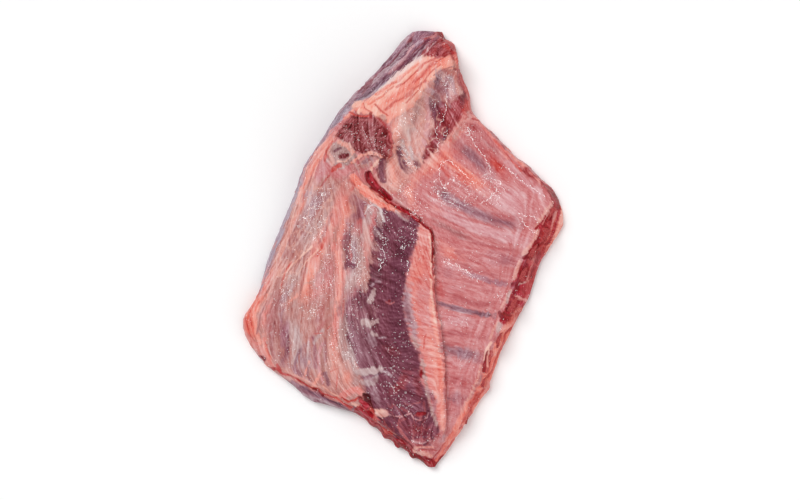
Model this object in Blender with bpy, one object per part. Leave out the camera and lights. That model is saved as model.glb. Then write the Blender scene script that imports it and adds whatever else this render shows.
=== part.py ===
# Lamb breast with its flap, lying inner side up: one slab of meat with eight sawn rib bones in it.
# Sizes are written in millimetres and turned into metres as the meshes are made.
# X runs to the sawn rib edge, Y to the neck end, Z up from the flat underside.

import math

import bpy
import bmesh
from mathutils import Vector, noise

MM = 0.001
LENGTH = 351.0              # neck end to flank tip, along Y
HALF_LENGTH = LENGTH / 2
ROWS = 78                   # cross sections along Y
GAP = 0.3                   # clearance between each bone and its channel

# Outlines seen from above, each as (Y, X) from the neck end down.
LEFT_EDGE = [
    (175.5, 9), (169, 0), (156, -10), (143, -21), (130, -34), (113, -50), (93, -62),
    (67, -79), (47, -86), (20, -97), (-9, -109), (-40, -118), (-58, -129), (-74, -124),
    (-93, -110), (-109, -89), (-122, -72), (-129, -45), (-138, -28), (-152, -11),
    (-165, 6), (-175.5, 21)]
RIGHT_EDGE = [
    (175.5, 26), (169, 35), (157, 40), (145, 41), (129, 50), (110, 55), (89, 77),
    (71, 94), (58, 110), (45, 123), (32, 128), (20, 129), (8, 122), (-12, 110),
    (-37, 102), (-56, 92), (-82, 79), (-108, 69), (-120, 63), (-146, 46), (-165, 34),
    (-175.5, 26)]

# Crest of the brisket fat, then the rounded shoulder of the flank: (Y, X) and (Y, height).
CREST = [
    (175.5, 15), (164, 18), (154, 17), (146, 8), (139, 0), (129, -10), (121, -22),
    (113, -36), (100, -49), (80, -65), (56, -78), (32, -86), (0, -99), (-32, -111),
    (-58, -121), (-74, -117), (-93, -104), (-109, -83), (-122, -66), (-129, -39),
    (-138, -22), (-152, -5), (-165, 11), (-175.5, 22)]
CREST_HEIGHT = [
    (175.5, 16), (164, 26), (154, 33), (146, 37), (129, 40), (113, 41), (100, 38),
    (80, 33), (56, 27), (32, 22), (0, 17), (-32, 14), (-58, 12), (-93, 11), (-122, 12),
    (-138, 15), (-152, 15), (-165, 12), (-175.5, 7)]

# Inner edge of the fat band, then the ridge between flank and flap muscle.
INNER_RIDGE = [
    (175.5, 18), (164, 26), (150, 33), (136, 24), (120, 10), (104, -6), (88, -10),
    (72, -17), (60, -30), (46, -43), (20, -44), (0, -52), (-40, -49), (-64, -54),
    (-108, -54), (-122, -46), (-132, -30), (-152, 2), (-165, 15), (-175.5, 22.6)]
INNER_RIDGE_HEIGHT = [
    (175.5, 15), (164, 25), (150, 33), (136, 37), (120, 38), (104, 39), (88, 39),
    (72, 35), (60, 31), (46, 29), (20, 27), (0, 25), (-40, 23), (-80, 21), (-108, 20),
    (-130, 19), (-152, 17), (-165, 13), (-175.5, 6.8)]

# Middle of the flap muscle, where it starts beside the ridge.
BELLY = [
    (175.5, 19), (164, 28), (150, 35), (136, 30), (120, 20), (104, 7), (88, 0),
    (72, -9), (60, -24), (46, -35), (20, -30), (-16, -30), (-32, -36), (-64, -42),
    (-104, -32), (-130, -24), (-145, -8), (-165, 17), (-175.5, 23)]
BELLY_HEIGHT = [
    (175.5, 14), (164, 24), (150, 32), (136, 32), (120, 31), (104, 31), (88, 31),
    (72, 30), (60, 30), (46, 30), (20, 31), (-40, 30), (-80, 29), (-120, 27),
    (-145, 23), (-165, 14), (-175.5, 6.6)]

# Start of the fat fringe along the flap's free side.
FRINGE = [
    (175.5, 20), (164, 30), (150, 37), (136, 35), (120, 25), (104, 15), (88, 8),
    (72, -2), (60, -21), (46, -27), (32, -8), (20, 8), (0, 7), (-30, 2), (-48, 4),
    (-76, 12), (-104, 18), (-130, 26), (-150, 22), (-165, 19), (-175.5, 23.4)]
FRINGE_HEIGHT = [
    (175.5, 13), (164, 23), (150, 29), (136, 28), (120, 27), (104, 27), (88, 27),
    (72, 28), (60, 29), (46, 31), (16, 32.5), (-40, 31.5), (-80, 30.5), (-120, 29),
    (-145, 25), (-158, 17), (-175.5, 6.4)]

# Free edge of the flap. Above the pocket it is only a line on the surface.
LIP = [
    (175.5, 21), (164, 31), (150, 38), (136, 37), (120, 30), (104, 22), (88, 16),
    (72, 5), (60, -18), (50, -20), (45, -17), (38, -10), (33, 0), (24, 12), (16, 21),
    (8, 23), (-36, 24), (-60, 28), (-80, 31), (-105, 32), (-136, 33), (-146, 31),
    (-156, 26), (-165, 22), (-175.5, 23.7)]
LIP_HEIGHT = [
    (175.5, 12), (164, 22), (150, 26), (136, 25), (120, 25), (104, 25), (88, 26),
    (72, 27), (60, 28), (46, 30), (16, 31), (-40, 30), (-80, 29), (-120, 27.5),
    (-145, 24), (-158, 16), (-175.5, 6.2)]
LIP_OVERHANG = 3.0          # how far the flap reaches over the rib panel
LIP_SLOT = 1.0              # open height under the flap's edge
FLAP_TOP, FLAP_END = 58.0, -156.0
FLAP_FADE = 14.0

# Rib panel: its height beside the flap, its middle line and its sawn rim.
PANEL_HEIGHT = [
    (175.5, 11), (164, 20), (150, 24), (136, 24), (112, 24), (88, 25), (60, 27),
    (46, 27), (30, 26), (0, 24.5), (-40, 24), (-80, 23.5), (-120, 22), (-145, 18.5),
    (-158, 14), (-175.5, 6)]
PANEL_MIDDLE = [
    (175.5, 22.5), (164, 32.5), (150, 38.6), (136, 40), (120, 43), (104, 47), (88, 46),
    (72, 50), (46, 54), (30, 62), (0, 66), (-40, 58), (-80, 52), (-120, 42),
    (-146, 37), (-165, 26), (-175.5, 24.2)]
PANEL_MIDDLE_HEIGHT = [
    (175.5, 10), (164, 18), (150, 22), (136, 24), (120, 27), (104, 28), (88, 26.5),
    (60, 25), (0, 24.5), (-60, 24), (-110, 22.5), (-145, 17.5), (-158, 13), (-175.5, 5.8)]
RIM = [
    (175.5, 24), (164, 34), (150, 39.6), (136, 43), (112, 52), (89, 73), (71, 90),
    (58, 106), (46, 116), (37, 118.5), (25, 112), (18, 107), (14, 109), (3, 103),
    (-6, 96), (-10, 97), (-23, 90), (-28, 87), (-39, 86), (-47, 82), (-54, 76.5),
    (-58, 78), (-67, 74.5), (-78, 70), (-86, 65), (-89, 64.5), (-99, 64), (-104, 60),
    (-109, 57), (-116, 53.6), (-122, 51), (-129, 50), (-138, 47), (-146, 42),
    (-160, 33), (-175.5, 24.8)]
RIM_HEIGHT = [
    (175.5, 9), (164, 15), (150, 18), (136, 18), (112, 19), (89, 19), (58, 20),
    (25, 22), (-40, 21.5), (-80, 21), (-120, 19), (-145, 14.5), (-158, 10), (-175.5, 5.5)]

EDGE_HEIGHT = 3.5           # height of the widest line of the sides
FOOT_INSET = 3.0            # how far the flat underside stays inside the outline

# Grooves between the ribs, from the flap to the sawn rim, as (X, Y) points.
RIB_GROOVES = [
    [(54, 97), (84, 65), (116, 40)],
    [(42, 84), (70, 57), (94, 40)],
    [(23, 48), (54, 34), (78, 24), (106, 17)],
    [(30, 17), (59, 8), (80, 0), (96, -6)],
    [(34, -10), (62, -21), (86, -27)],
    [(27, -43), (54, -48), (77, -54)],
    [(30, -76), (46, -81), (64, -87)],
    [(32, -119), (51, -124)],
    [(30, -148), (40, -150)]]
GROOVE_DEPTH = 1.5
GROOVE_HALF_WIDTH = 6.0

# Wrinkles and pulled folds of the flank and the fat, as (depth, half width, points).
FOLDS = [
    (2.2, 4.5, [(-30, 110), (-8, 128), (16, 142), (34, 150)]),
    (1.6, 3.5, [(-46, 106), (-26, 122), (-6, 138), (8, 150)]),
    (2.6, 5.0, [(-56, 82), (-46, 66), (-30, 60)]),
    (2.0, 5.0, [(-60, 46), (-74, 10), (-92, -24)]),
    (1.8, 5.0, [(-56, 20), (-66, -20), (-84, -60)]),
    (1.6, 4.0, [(-104, -20), (-108, -52), (-98, -84)]),
    (2.4, 4.0, [(-118, -70), (-98, -86), (-82, -104)]),
    (1.8, 4.0, [(-76, -64), (-70, -90), (-58, -110)]),
    (2.6, 4.0, [(-38, -100), (-30, -118), (-28, -132)]),
    (1.8, 4.0, [(-14, -104), (-2, -132), (8, -150)]),
    (2.2, 5.0, [(8, 122), (20, 104), (30, 84)]),
    (1.6, 4.0, [(36, 118), (30, 100), (20, 82)])]

# Rounded lumps that stand proud, as (X, Y, radius along X, radius along Y, height).
LUMPS = [
    (-26, 104, 20, 18, 4.0), (-14, 84, 13, 12, 3.5), (-46, 86, 12, 13, 2.0),
    (-38, 112, 7, 5, 2.6), (-24, 116, 8, 5, 2.8), (6, 134, 16, 10, 2.0),
    (-54, 52, 10, 14, 2.0), (-52, -20, 7, 34, 1.8), (-52, -86, 9, 26, 1.6),
    (-120, -58, 8, 14, 2.2), (-24, -124, 9, 7, 2.8), (22, -152, 12, 7, 2.0),
    (-10, 0, 16, 36, 1.6), (-8, -80, 18, 30, 1.2)]

COARSE_WAVE, COARSE_SIZE = 0.9, 17.0
FINE_WAVE, FINE_SIZE = 0.55, 6.0

# Rib bones, from under the flap to the sawn face, as (X, Y) points of each middle line.
RIB_LINES = [
    [(50, 78), (82, 52), (112, 33)],
    [(36, 62), (66, 42), (100, 20)],
    [(27, 28), (60, 18), (98, 2)],
    [(28, 2), (60, -9), (90, -18)],
    [(28, -28), (56, -36), (83, -43)],
    [(28, -60), (50, -65), (73, -71)],
    [(32, -98), (46, -101), (62, -104)],
    [(36, -133), (43, -134.5), (50, -136)]]
RIB_HALF_WIDTH = [6.0, 6.5, 7.0, 7.0, 7.0, 7.0, 6.5, 4.5]
RIB_HALF_THICKNESS = [2.6, 2.8, 3.0, 3.0, 3.0, 3.0, 2.7, 1.9]
RIB_COVER = 2.6             # meat and membrane over each bone
RIB_STAND_OUT = 0.8         # how far the sawn end stands out of the face
RIB_STEPS = 7
RIB_SIDES = 10
CHANNEL_REACH = 14.0        # how far the channel's cutter passes the sawn face

MEAT_COLOUR = (0.60, 0.24, 0.24, 1.0)
BONE_COLOUR = (0.62, 0.42, 0.36, 1.0)


def clear_scene():
    for item in list(bpy.data.objects):
        bpy.data.objects.remove(item, do_unlink=True)


def blend(low, high, value):
    """Smooth step from 0 at low to 1 at high."""
    share = min(max((value - low) / (high - low), 0.0), 1.0)
    return share * share * (3 - 2 * share)


def spline(points, y):
    """Value of a curve of (Y, value) points, sorted from the neck end down, at y."""
    last = len(points) - 2
    index = 0
    while index < last and points[index + 1][0] > y:
        index += 1
    (y1, v1), (y2, v2) = points[index], points[index + 1]
    y0, v0 = points[index - 1] if index else (2 * y1 - y2, v1)
    y3, v3 = points[index + 2] if index < last else (2 * y2 - y1, v2)
    share = min(max((y1 - y) / (y1 - y2), 0.0), 1.0)
    slope1 = (v2 - v0) / (y0 - y2) * (y1 - y2)
    slope2 = (v3 - v1) / (y1 - y3) * (y1 - y2)
    cube, square = share ** 3, share ** 2
    return ((2 * cube - 3 * square + 1) * v1 + (cube - 2 * square + share) * slope1
            + (3 * square - 2 * cube) * v2 + (cube - square) * slope2)


def line_distance(x, y, line):
    """Distance from a point to a polyline, and how far along it the nearest point is."""
    best, along, passed = 1e9, 0.0, 0.0
    for (ax, ay), (bx, by) in zip(line, line[1:]):
        length = math.hypot(bx - ax, by - ay)
        share = ((x - ax) * (bx - ax) + (y - ay) * (by - ay)) / length ** 2
        share = min(max(share, 0.0), 1.0)
        away = math.hypot(ax + share * (bx - ax) - x, ay + share * (by - ay) - y)
        if away < best:
            best, along = away, passed + share * length
        passed += length
    return best, along / passed


def groove(x, y, line, depth, half_width):
    """Depth of a groove that fades at both ends of its line."""
    away, along = line_distance(x, y, line)
    ends = blend(-0.05, 0.2, along) * blend(1.25, 0.85, along)
    return depth * ends * math.exp(-(away / half_width) ** 2)


def relief(x, y):
    """Height that ribs, folds, lumps and uneven meat add to the smooth section."""
    height = sum(-groove(x, y, line, GROOVE_DEPTH, GROOVE_HALF_WIDTH) for line in RIB_GROOVES)
    height -= sum(groove(x, y, line, depth, width) for depth, width, line in FOLDS)
    for cx, cy, rx, ry, top in LUMPS:
        height += top * math.exp(-((x - cx) / rx) ** 2 - ((y - cy) / ry) ** 2)
    height += COARSE_WAVE * noise.noise(Vector((x, y, 40.0)) / COARSE_SIZE)
    height += FINE_WAVE * noise.noise(Vector((x, y, 90.0)) / FINE_SIZE)
    return height


def ease(stations, counts):
    """Rounded line through (x, z) stations, with counts[i] steps between two of them."""
    line = [stations[0]]
    for index, count in enumerate(counts):
        before = stations[max(index - 1, 0)]
        start, end = stations[index], stations[index + 1]
        after = stations[min(index + 2, len(stations) - 1)]
        for step in range(1, count + 1):
            share = step / count
            x = start[0] + share * (end[0] - start[0])
            rise1 = (end[1] - before[1]) / max(end[0] - before[0], 0.5) * (end[0] - start[0])
            rise2 = (after[1] - start[1]) / max(after[0] - start[0], 0.5) * (end[0] - start[0])
            cube, square = share ** 3, share ** 2
            z = ((2 * cube - 3 * square + 1) * start[1] + (cube - 2 * square + share) * rise1
                 + (3 * square - 2 * cube) * end[1] + (cube - square) * rise2)
            line.append((x, z))
    return line


def flank_and_flap(y):
    """Section from the left outline over the crest and the muscle to the flap's lip."""
    left, crest, top = spline(LEFT_EDGE, y), spline(CREST, y), spline(CREST_HEIGHT, y)
    crest = max(crest, left + 1.5)
    ridge = max(spline(INNER_RIDGE, y), crest + 1.0)
    belly = max(spline(BELLY, y), ridge + 0.6)
    fringe = max(spline(FRINGE, y), belly + 0.6)
    lip = max(spline(LIP, y), fringe + 0.6)
    stations = [
        (left, EDGE_HEIGHT), (left + 0.42 * (crest - left), 0.42 * EDGE_HEIGHT + 0.62 * top),
        (crest, top), (ridge, spline(INNER_RIDGE_HEIGHT, y)), (belly, spline(BELLY_HEIGHT, y)),
        (fringe, spline(FRINGE_HEIGHT, y)), (lip, spline(LIP_HEIGHT, y))]
    return ease(stations, (3, 3, 8, 4, 6, 3))


def under_the_lip(lip, y, panel):
    """Rounded lip and the slot under it, or three points on the surface above the pocket."""
    fold = blend(FLAP_TOP, FLAP_TOP - FLAP_FADE, y) * blend(FLAP_END, FLAP_END + FLAP_FADE, y)
    x, z = lip
    folded = [(x + 0.9, z - 1.2), (x + 0.2, panel + LIP_SLOT + 0.4),
              (x - LIP_OVERHANG, panel + LIP_SLOT), (x - LIP_OVERHANG, panel)]
    open_ground = [(x + 0.5, z), (x + 1.0, z), (x + 1.5, z), (x + 2.0, z)]
    return [(a[0] * fold + b[0] * (1 - fold), a[1] * fold + b[1] * (1 - fold))
            for a, b in zip(folded, open_ground)]


def rib_panel(start, y):
    """Section from under the lip over the rib panel and down the sawn face."""
    right = spline(RIGHT_EDGE, y)
    rim = min(spline(RIM, y), right - 0.8)
    middle = min(max(spline(PANEL_MIDDLE, y), start[0] + 0.8), rim - 0.4)
    top = ease([start, (middle, spline(PANEL_MIDDLE_HEIGHT, y)), (rim, spline(RIM_HEIGHT, y))],
               (8, 9))
    rim_height = top[-1][1]
    face = [(rim + share * (right - rim), rim_height + share ** 1.25 * (EDGE_HEIGHT - rim_height))
            for share in (0.25, 0.5, 0.75, 1.0)]
    return top + face


def section(y):
    """Closed loop of (x, z) points across the meat at y."""
    upper = flank_and_flap(y)
    lip = upper[-1]
    slot = under_the_lip(lip, y, spline(PANEL_HEIGHT, y))
    lower = rib_panel(slot[-1], y)
    loop = []
    for place, (x, z) in enumerate(upper + slot[:2]):
        share = blend(0, 4, place)
        loop.append((x, z + share * relief(x, y)))
    for x, z in slot[2:3]:
        loop.append((x, z + relief(x, y)))
    for place, (x, z) in enumerate(lower):
        share = blend(0, 3, len(lower) - 1 - place)
        loop.append((x, z + share * relief(x, y)))
    left, right = loop[0][0], loop[-1][0]
    foot = min(FOOT_INSET, 0.3 * (right - left))
    loop.append((right - foot, 0.0))
    loop.append((left + foot, 0.0))
    return loop


def surface_height(x, y):
    """Height of the rib panel or the sawn face over a point."""
    line = rib_panel(under_the_lip(flank_and_flap(y)[-1], y, spline(PANEL_HEIGHT, y))[-1], y)
    for (x1, z1), (x2, z2) in zip(line, line[1:]):
        if x1 <= x <= x2:
            return z1 + (x - x1) / (x2 - x1) * (z2 - z1) + relief(x, y)
    return line[0][1]


def make_object(name, vertices, faces, colour, roughness):
    """Closed mesh object of millimetre points, with its own material."""
    mesh = bpy.data.meshes.new(name)
    mesh.from_pydata([tuple(c * MM for c in point) for point in vertices], [], faces)
    shape = bmesh.new()
    shape.from_mesh(mesh)
    bmesh.ops.triangulate(shape, faces=shape.faces)
    bmesh.ops.recalc_face_normals(shape, faces=shape.faces)
    shape.to_mesh(mesh)
    shape.free()
    mesh.shade_smooth()
    thing = bpy.data.objects.new(name, mesh)
    bpy.context.scene.collection.objects.link(thing)
    material = bpy.data.materials.new(name)
    material.use_nodes = True
    shader = material.node_tree.nodes["Principled BSDF"]
    shader.inputs["Base Color"].default_value = colour
    shader.inputs["Roughness"].default_value = roughness
    shader.inputs["Metallic"].default_value = 0.0
    mesh.materials.append(material)
    return thing


def loft(loops):
    """Points and faces of a closed body through loops of equal length."""
    count = len(loops[0])
    points = [point for loop in loops for point in loop]
    faces = [tuple(range(count)), tuple(range((len(loops) - 1) * count, len(loops) * count))[::-1]]
    for row in range(len(loops) - 1):
        for place in range(count):
            after = (place + 1) % count
            a, b = row * count, (row + 1) * count
            faces.append((a + place, a + after, b + after, b + place))
    return points, faces


def make_meat():
    loops = []
    for row in range(ROWS + 1):
        y = HALF_LENGTH - LENGTH * row / ROWS
        loops.append([(x, y, z) for x, z in section(y)])
    return make_object("breast_and_flap", *loft(loops), MEAT_COLOUR, 0.4)


def sawn_reach(line, height):
    """How far along the last stretch of a rib line the sawn face lies at a height."""
    (ax, ay), (bx, by) = line[-2], line[-1]
    length = math.hypot(bx - ax, by - ay)
    dx, dy = (bx - ax) / length, (by - ay) / length
    reach = length * 0.6
    while reach < length * 2 and surface_height(ax + reach * dx, ay + reach * dy) > height:
        reach += 0.2
    return reach, (ax, ay), (dx, dy)


def rib_middle(index):
    """Middle line of a rib, from its inner end to just outside the sawn face."""
    line = RIB_LINES[index]
    depth = RIB_COVER + RIB_HALF_THICKNESS[index]
    end_height = surface_height(*line[-1]) - depth
    reach, corner, way = sawn_reach(line, end_height)
    reach += RIB_STAND_OUT
    start, bend = Vector(line[0]), Vector(line[1])
    end = Vector((corner[0] + reach * way[0], corner[1] + reach * way[1]))
    middle = []
    for step in range(RIB_STEPS + 1):
        share = step / RIB_STEPS
        x, y = (1 - share) ** 2 * start + 2 * share * (1 - share) * bend + share ** 2 * end
        height = min(spline(PANEL_HEIGHT, y), surface_height(x, y)) - depth
        level = blend(0.55, 0.95, share)
        middle.append(Vector((x, y, height * (1 - level) + end_height * level)))
    return middle


def rib_rings(index, grow):
    """Rings of points along a rib. The channel's rings are grown by the gap."""
    middle = rib_middle(index)
    along = (middle[-1] - middle[0]).xy.normalized()
    if grow:
        middle[0] = middle[0] - grow * along.to_3d()
    rings = []
    for step, centre in enumerate(middle):
        slim = 0.8 + 0.2 * blend(0.0, 0.4, step / RIB_STEPS)
        half_width = RIB_HALF_WIDTH[index] * slim + grow
        half_thick = RIB_HALF_THICKNESS[index] * slim + grow
        ring = []
        for side in range(RIB_SIDES):
            angle = 2 * math.pi * side / RIB_SIDES
            across = half_width * math.cos(angle)
            up = half_thick * math.sin(angle)
            ring.append(centre + Vector((-across * along.y, across * along.x, up)))
        rings.append(ring)
    return rings


def make_ribs():
    return [make_object(f"rib_bone_{index + 1}", *loft(rib_rings(index, 0.0)), BONE_COLOUR, 0.5)
            for index in range(len(RIB_LINES))]


def channel_rings(index):
    """The grown rings of a rib, carried on in a straight line past the sawn face."""
    rings = rib_rings(index, GAP)
    middle = rib_middle(index)
    way = (middle[-1] - middle[-2]).normalized()
    rings.append([point + CHANNEL_REACH * way for point in rings[-1]])
    return rings


def cut_channels(meat):
    """Opens one channel for each rib at the sawn face."""
    for index in range(len(RIB_LINES)):
        cutter = make_object(f"channel_{index + 1}", *loft(channel_rings(index)),
                             BONE_COLOUR, 0.5)
        cutter.hide_render = True
        cutter.display_type = "WIRE"
        cut = meat.modifiers.new(f"channel_{index + 1}", "BOOLEAN")
        cut.operation = "DIFFERENCE"
        cut.solver = "EXACT"
        cut.object = cutter


def apply_modifiers(thing):
    """Gives an object the mesh that its modifiers make, and removes their cutters."""
    cutters = [modifier.object for modifier in thing.modifiers]
    depsgraph = bpy.context.evaluated_depsgraph_get()
    shaped = bpy.data.meshes.new_from_object(thing.evaluated_get(depsgraph))
    thing.modifiers.clear()
    thing.data = shaped
    for cutter in cutters:
        bpy.data.objects.remove(cutter, do_unlink=True)


def main():
    clear_scene()
    meat = make_meat()
    make_ribs()
    cut_channels(meat)
    apply_modifiers(meat)


main()
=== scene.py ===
import math

import bpy
import numpy as np
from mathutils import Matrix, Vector
from mathutils.bvhtree import BVHTree


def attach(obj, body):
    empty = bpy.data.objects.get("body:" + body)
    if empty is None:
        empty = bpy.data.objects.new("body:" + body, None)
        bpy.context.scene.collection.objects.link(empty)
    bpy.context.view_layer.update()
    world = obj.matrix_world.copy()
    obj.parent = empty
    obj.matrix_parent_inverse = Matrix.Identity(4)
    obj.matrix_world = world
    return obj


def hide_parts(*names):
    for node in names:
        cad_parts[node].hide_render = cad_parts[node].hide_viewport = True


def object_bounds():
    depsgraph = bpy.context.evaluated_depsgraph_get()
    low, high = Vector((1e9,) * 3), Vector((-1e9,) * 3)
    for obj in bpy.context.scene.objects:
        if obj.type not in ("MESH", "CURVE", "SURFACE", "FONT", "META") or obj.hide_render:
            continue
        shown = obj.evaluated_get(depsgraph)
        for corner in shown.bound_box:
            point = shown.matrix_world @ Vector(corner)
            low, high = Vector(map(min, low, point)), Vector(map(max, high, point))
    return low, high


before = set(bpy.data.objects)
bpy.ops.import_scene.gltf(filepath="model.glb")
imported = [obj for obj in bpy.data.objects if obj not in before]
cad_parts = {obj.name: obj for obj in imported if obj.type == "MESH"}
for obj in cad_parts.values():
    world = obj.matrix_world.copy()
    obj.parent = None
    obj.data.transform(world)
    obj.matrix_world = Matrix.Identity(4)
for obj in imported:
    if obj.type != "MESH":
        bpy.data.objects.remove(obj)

cadLow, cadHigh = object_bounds()

# Places on the meat are given as pixels of the 800 x 500 photograph, read off it.
photo = {
    "size": (800, 500),
    "middle": (403.0, 249.5),   # the pixel that lies at the frame's origin
    "pixel": 0.0008,            # metres for one pixel
}

# Tissue colours, linear, then how strongly the fibres show.
tissue = {
    "ice": (0.80, 0.70, 0.71, 0.6),
    "cream": (0.92, 0.52, 0.43, 0.9),
    "fat": (0.90, 0.38, 0.315, 0.9),
    "peach": (0.77, 0.37, 0.325, 1.0),
    "orange": (0.82, 0.235, 0.185, 1.1),
    "crease": (0.62, 0.09, 0.075, 1.2),
    "salmon": (0.76, 0.275, 0.25, 1.0),
    "beige": (0.59, 0.285, 0.262, 1.1),
    "greyFat": (0.53, 0.31, 0.30, 1.2),
    "membrane": (0.70, 0.36, 0.33, 1.2),
    "paleGrey": (0.58, 0.40, 0.40, 1.0),
    "pink": (0.63, 0.23, 0.235, 0.9),
    "palePink": (0.69, 0.34, 0.36, 0.9),
    "rose": (0.48, 0.12, 0.13, 0.8),
    "brownRose": (0.42, 0.15, 0.155, 1.2),
    "mauve": (0.37, 0.14, 0.175, 1.1),
    "greyMauve": (0.31, 0.135, 0.17, 1.0),
    "lilac": (0.47, 0.30, 0.34, 1.1),
    "lavender": (0.42, 0.33, 0.41, 1.0),
    "wall": (0.39, 0.205, 0.265, 1.8),
    "slate": (0.19, 0.085, 0.12, 1.3),
    "purple": (0.140, 0.033, 0.056, 0.65),
    "plum": (0.195, 0.052, 0.078, 0.9),
    "maroon": (0.23, 0.035, 0.045, 1.4),
    "wine": (0.31, 0.045, 0.055, 1.4),
    "lean": (0.40, 0.06, 0.065, 1.5),
    "red": (0.48, 0.055, 0.055, 1.3),
    "brightRed": (0.56, 0.07, 0.06, 1.2),
    # raw: the red of cut flesh, kept deep and saturated as painted light, so that the shaded steep sides it
    # covers come out red.
    "raw": (0.40, 0.022, 0.032, 1.5),
    "blood": (0.28, 0.014, 0.02, 0.8),
    "darkRed": (0.22, 0.015, 0.022, 1.2),
    "shade": (0.10, 0.008, 0.014, 0.6),
    "crus": (0.255, 0.045, 0.052, 1.8),
}

# The way the fibres run, always told from the same end, in pixels.
fibreLines = {
    "flank ridge": [(344, 186), (322, 222), (300, 262), (262, 306), (248, 322)],
    "flank outer": [(322, 168), (306, 196), (288, 236), (266, 284), (250, 318)],
    "flank inner": [(336, 238), (310, 268), (286, 306), (272, 350)],
    "flank base": [(302, 300), (298, 345), (290, 372)],
    "flank base inner": [(330, 262), (318, 310), (312, 350), (306, 386)],
    "flank beside muscle": [(338, 244), (342, 280), (338, 330), (336, 392)],
    "flank orange": [(352, 190), (347, 220), (334, 244)],
    "left corner": [(252, 304), (249, 330), (262, 354)],
    "corner to lip": [(262, 330), (266, 350), (274, 366)],
    "flap top fat": [(360, 184), (378, 200), (398, 210), (418, 222)],
    "muscle": [(384, 222), (392, 262), (388, 312), (396, 352), (412, 396), (430, 436)],
    "muscle edge": [(356, 226), (360, 262), (354, 300), (352, 346), (364, 386)],
    "fringe top": [(418, 238), (424, 246), (431, 256)],
    "fringe upper": [(412, 256), (422, 266), (432, 277)],
    "fringe middle": [(408, 278), (420, 284), (433, 291)],
    "fringe below middle": [(408, 300), (421, 305), (435, 311)],
    "fringe lower": [(416, 330), (427, 334), (438, 338)],
    "fringe low": [(424, 360), (433, 362), (442, 364)],
    "fringe end": [(432, 392), (438, 394), (444, 396)],
    "fringe tail": [(437, 414), (441, 416), (445, 418)],
    "fat band": [(446, 56), (424, 76), (404, 96), (384, 108), (352, 120)],
    "wall": [(428, 34), (404, 54), (376, 82), (346, 108), (324, 140), (298, 184)],
    "neck": [(447, 44), (440, 52), (428, 58)],
    "right margin": [(452, 62), (460, 82), (470, 108)],
    "valley right": [(445, 74), (442, 104), (436, 142), (422, 172)],
    "valley far right": [(460, 88), (458, 112), (448, 138)],
    "valley middle": [(424, 92), (414, 130), (410, 160), (414, 184)],
    "valley left": [(398, 118), (398, 150), (394, 190)],
    "rough muscle top": [(384, 130), (364, 124), (342, 126)],
    "rough muscle middle": [(386, 142), (366, 134), (346, 136)],
    "rough muscle low": [(390, 154), (368, 144), (350, 146)],
    "swirl": [(346, 142), (334, 152), (338, 166)],
    "loose sheet": [(376, 158), (358, 168), (344, 178)],
    "first rib": [(466, 124), (490, 158), (520, 186), (552, 204)],
    "second rib": [(448, 146), (472, 172), (500, 194), (540, 220)],
    "third rib": [(430, 176), (456, 198), (490, 214), (532, 236)],
    "fourth rib": [(430, 206), (460, 226), (494, 240), (526, 250)],
    "fifth rib": [(440, 244), (470, 256), (500, 264), (520, 266)],
    "sixth rib": [(436, 284), (470, 294), (506, 302)],
    "seventh rib": [(440, 320), (470, 326), (500, 332)],
    "eighth rib": [(442, 350), (466, 354), (484, 358)],
    "ninth rib": [(444, 380), (462, 382), (480, 384)],
    "last rib": [(444, 408), (456, 410), (468, 412)],
    "shoulder edge": [(482, 122), (508, 152), (548, 190), (562, 216)],
    "sawn face": [(556, 204), (548, 236), (536, 274), (526, 302)],
    "sawn face low": [(518, 308), (500, 342), (486, 380), (462, 424), (438, 462)],
    "lip": [(258, 352), (280, 374), (318, 394), (350, 408)],
    "torn edge": [(366, 412), (388, 432), (412, 452), (432, 464)],
}

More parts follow.
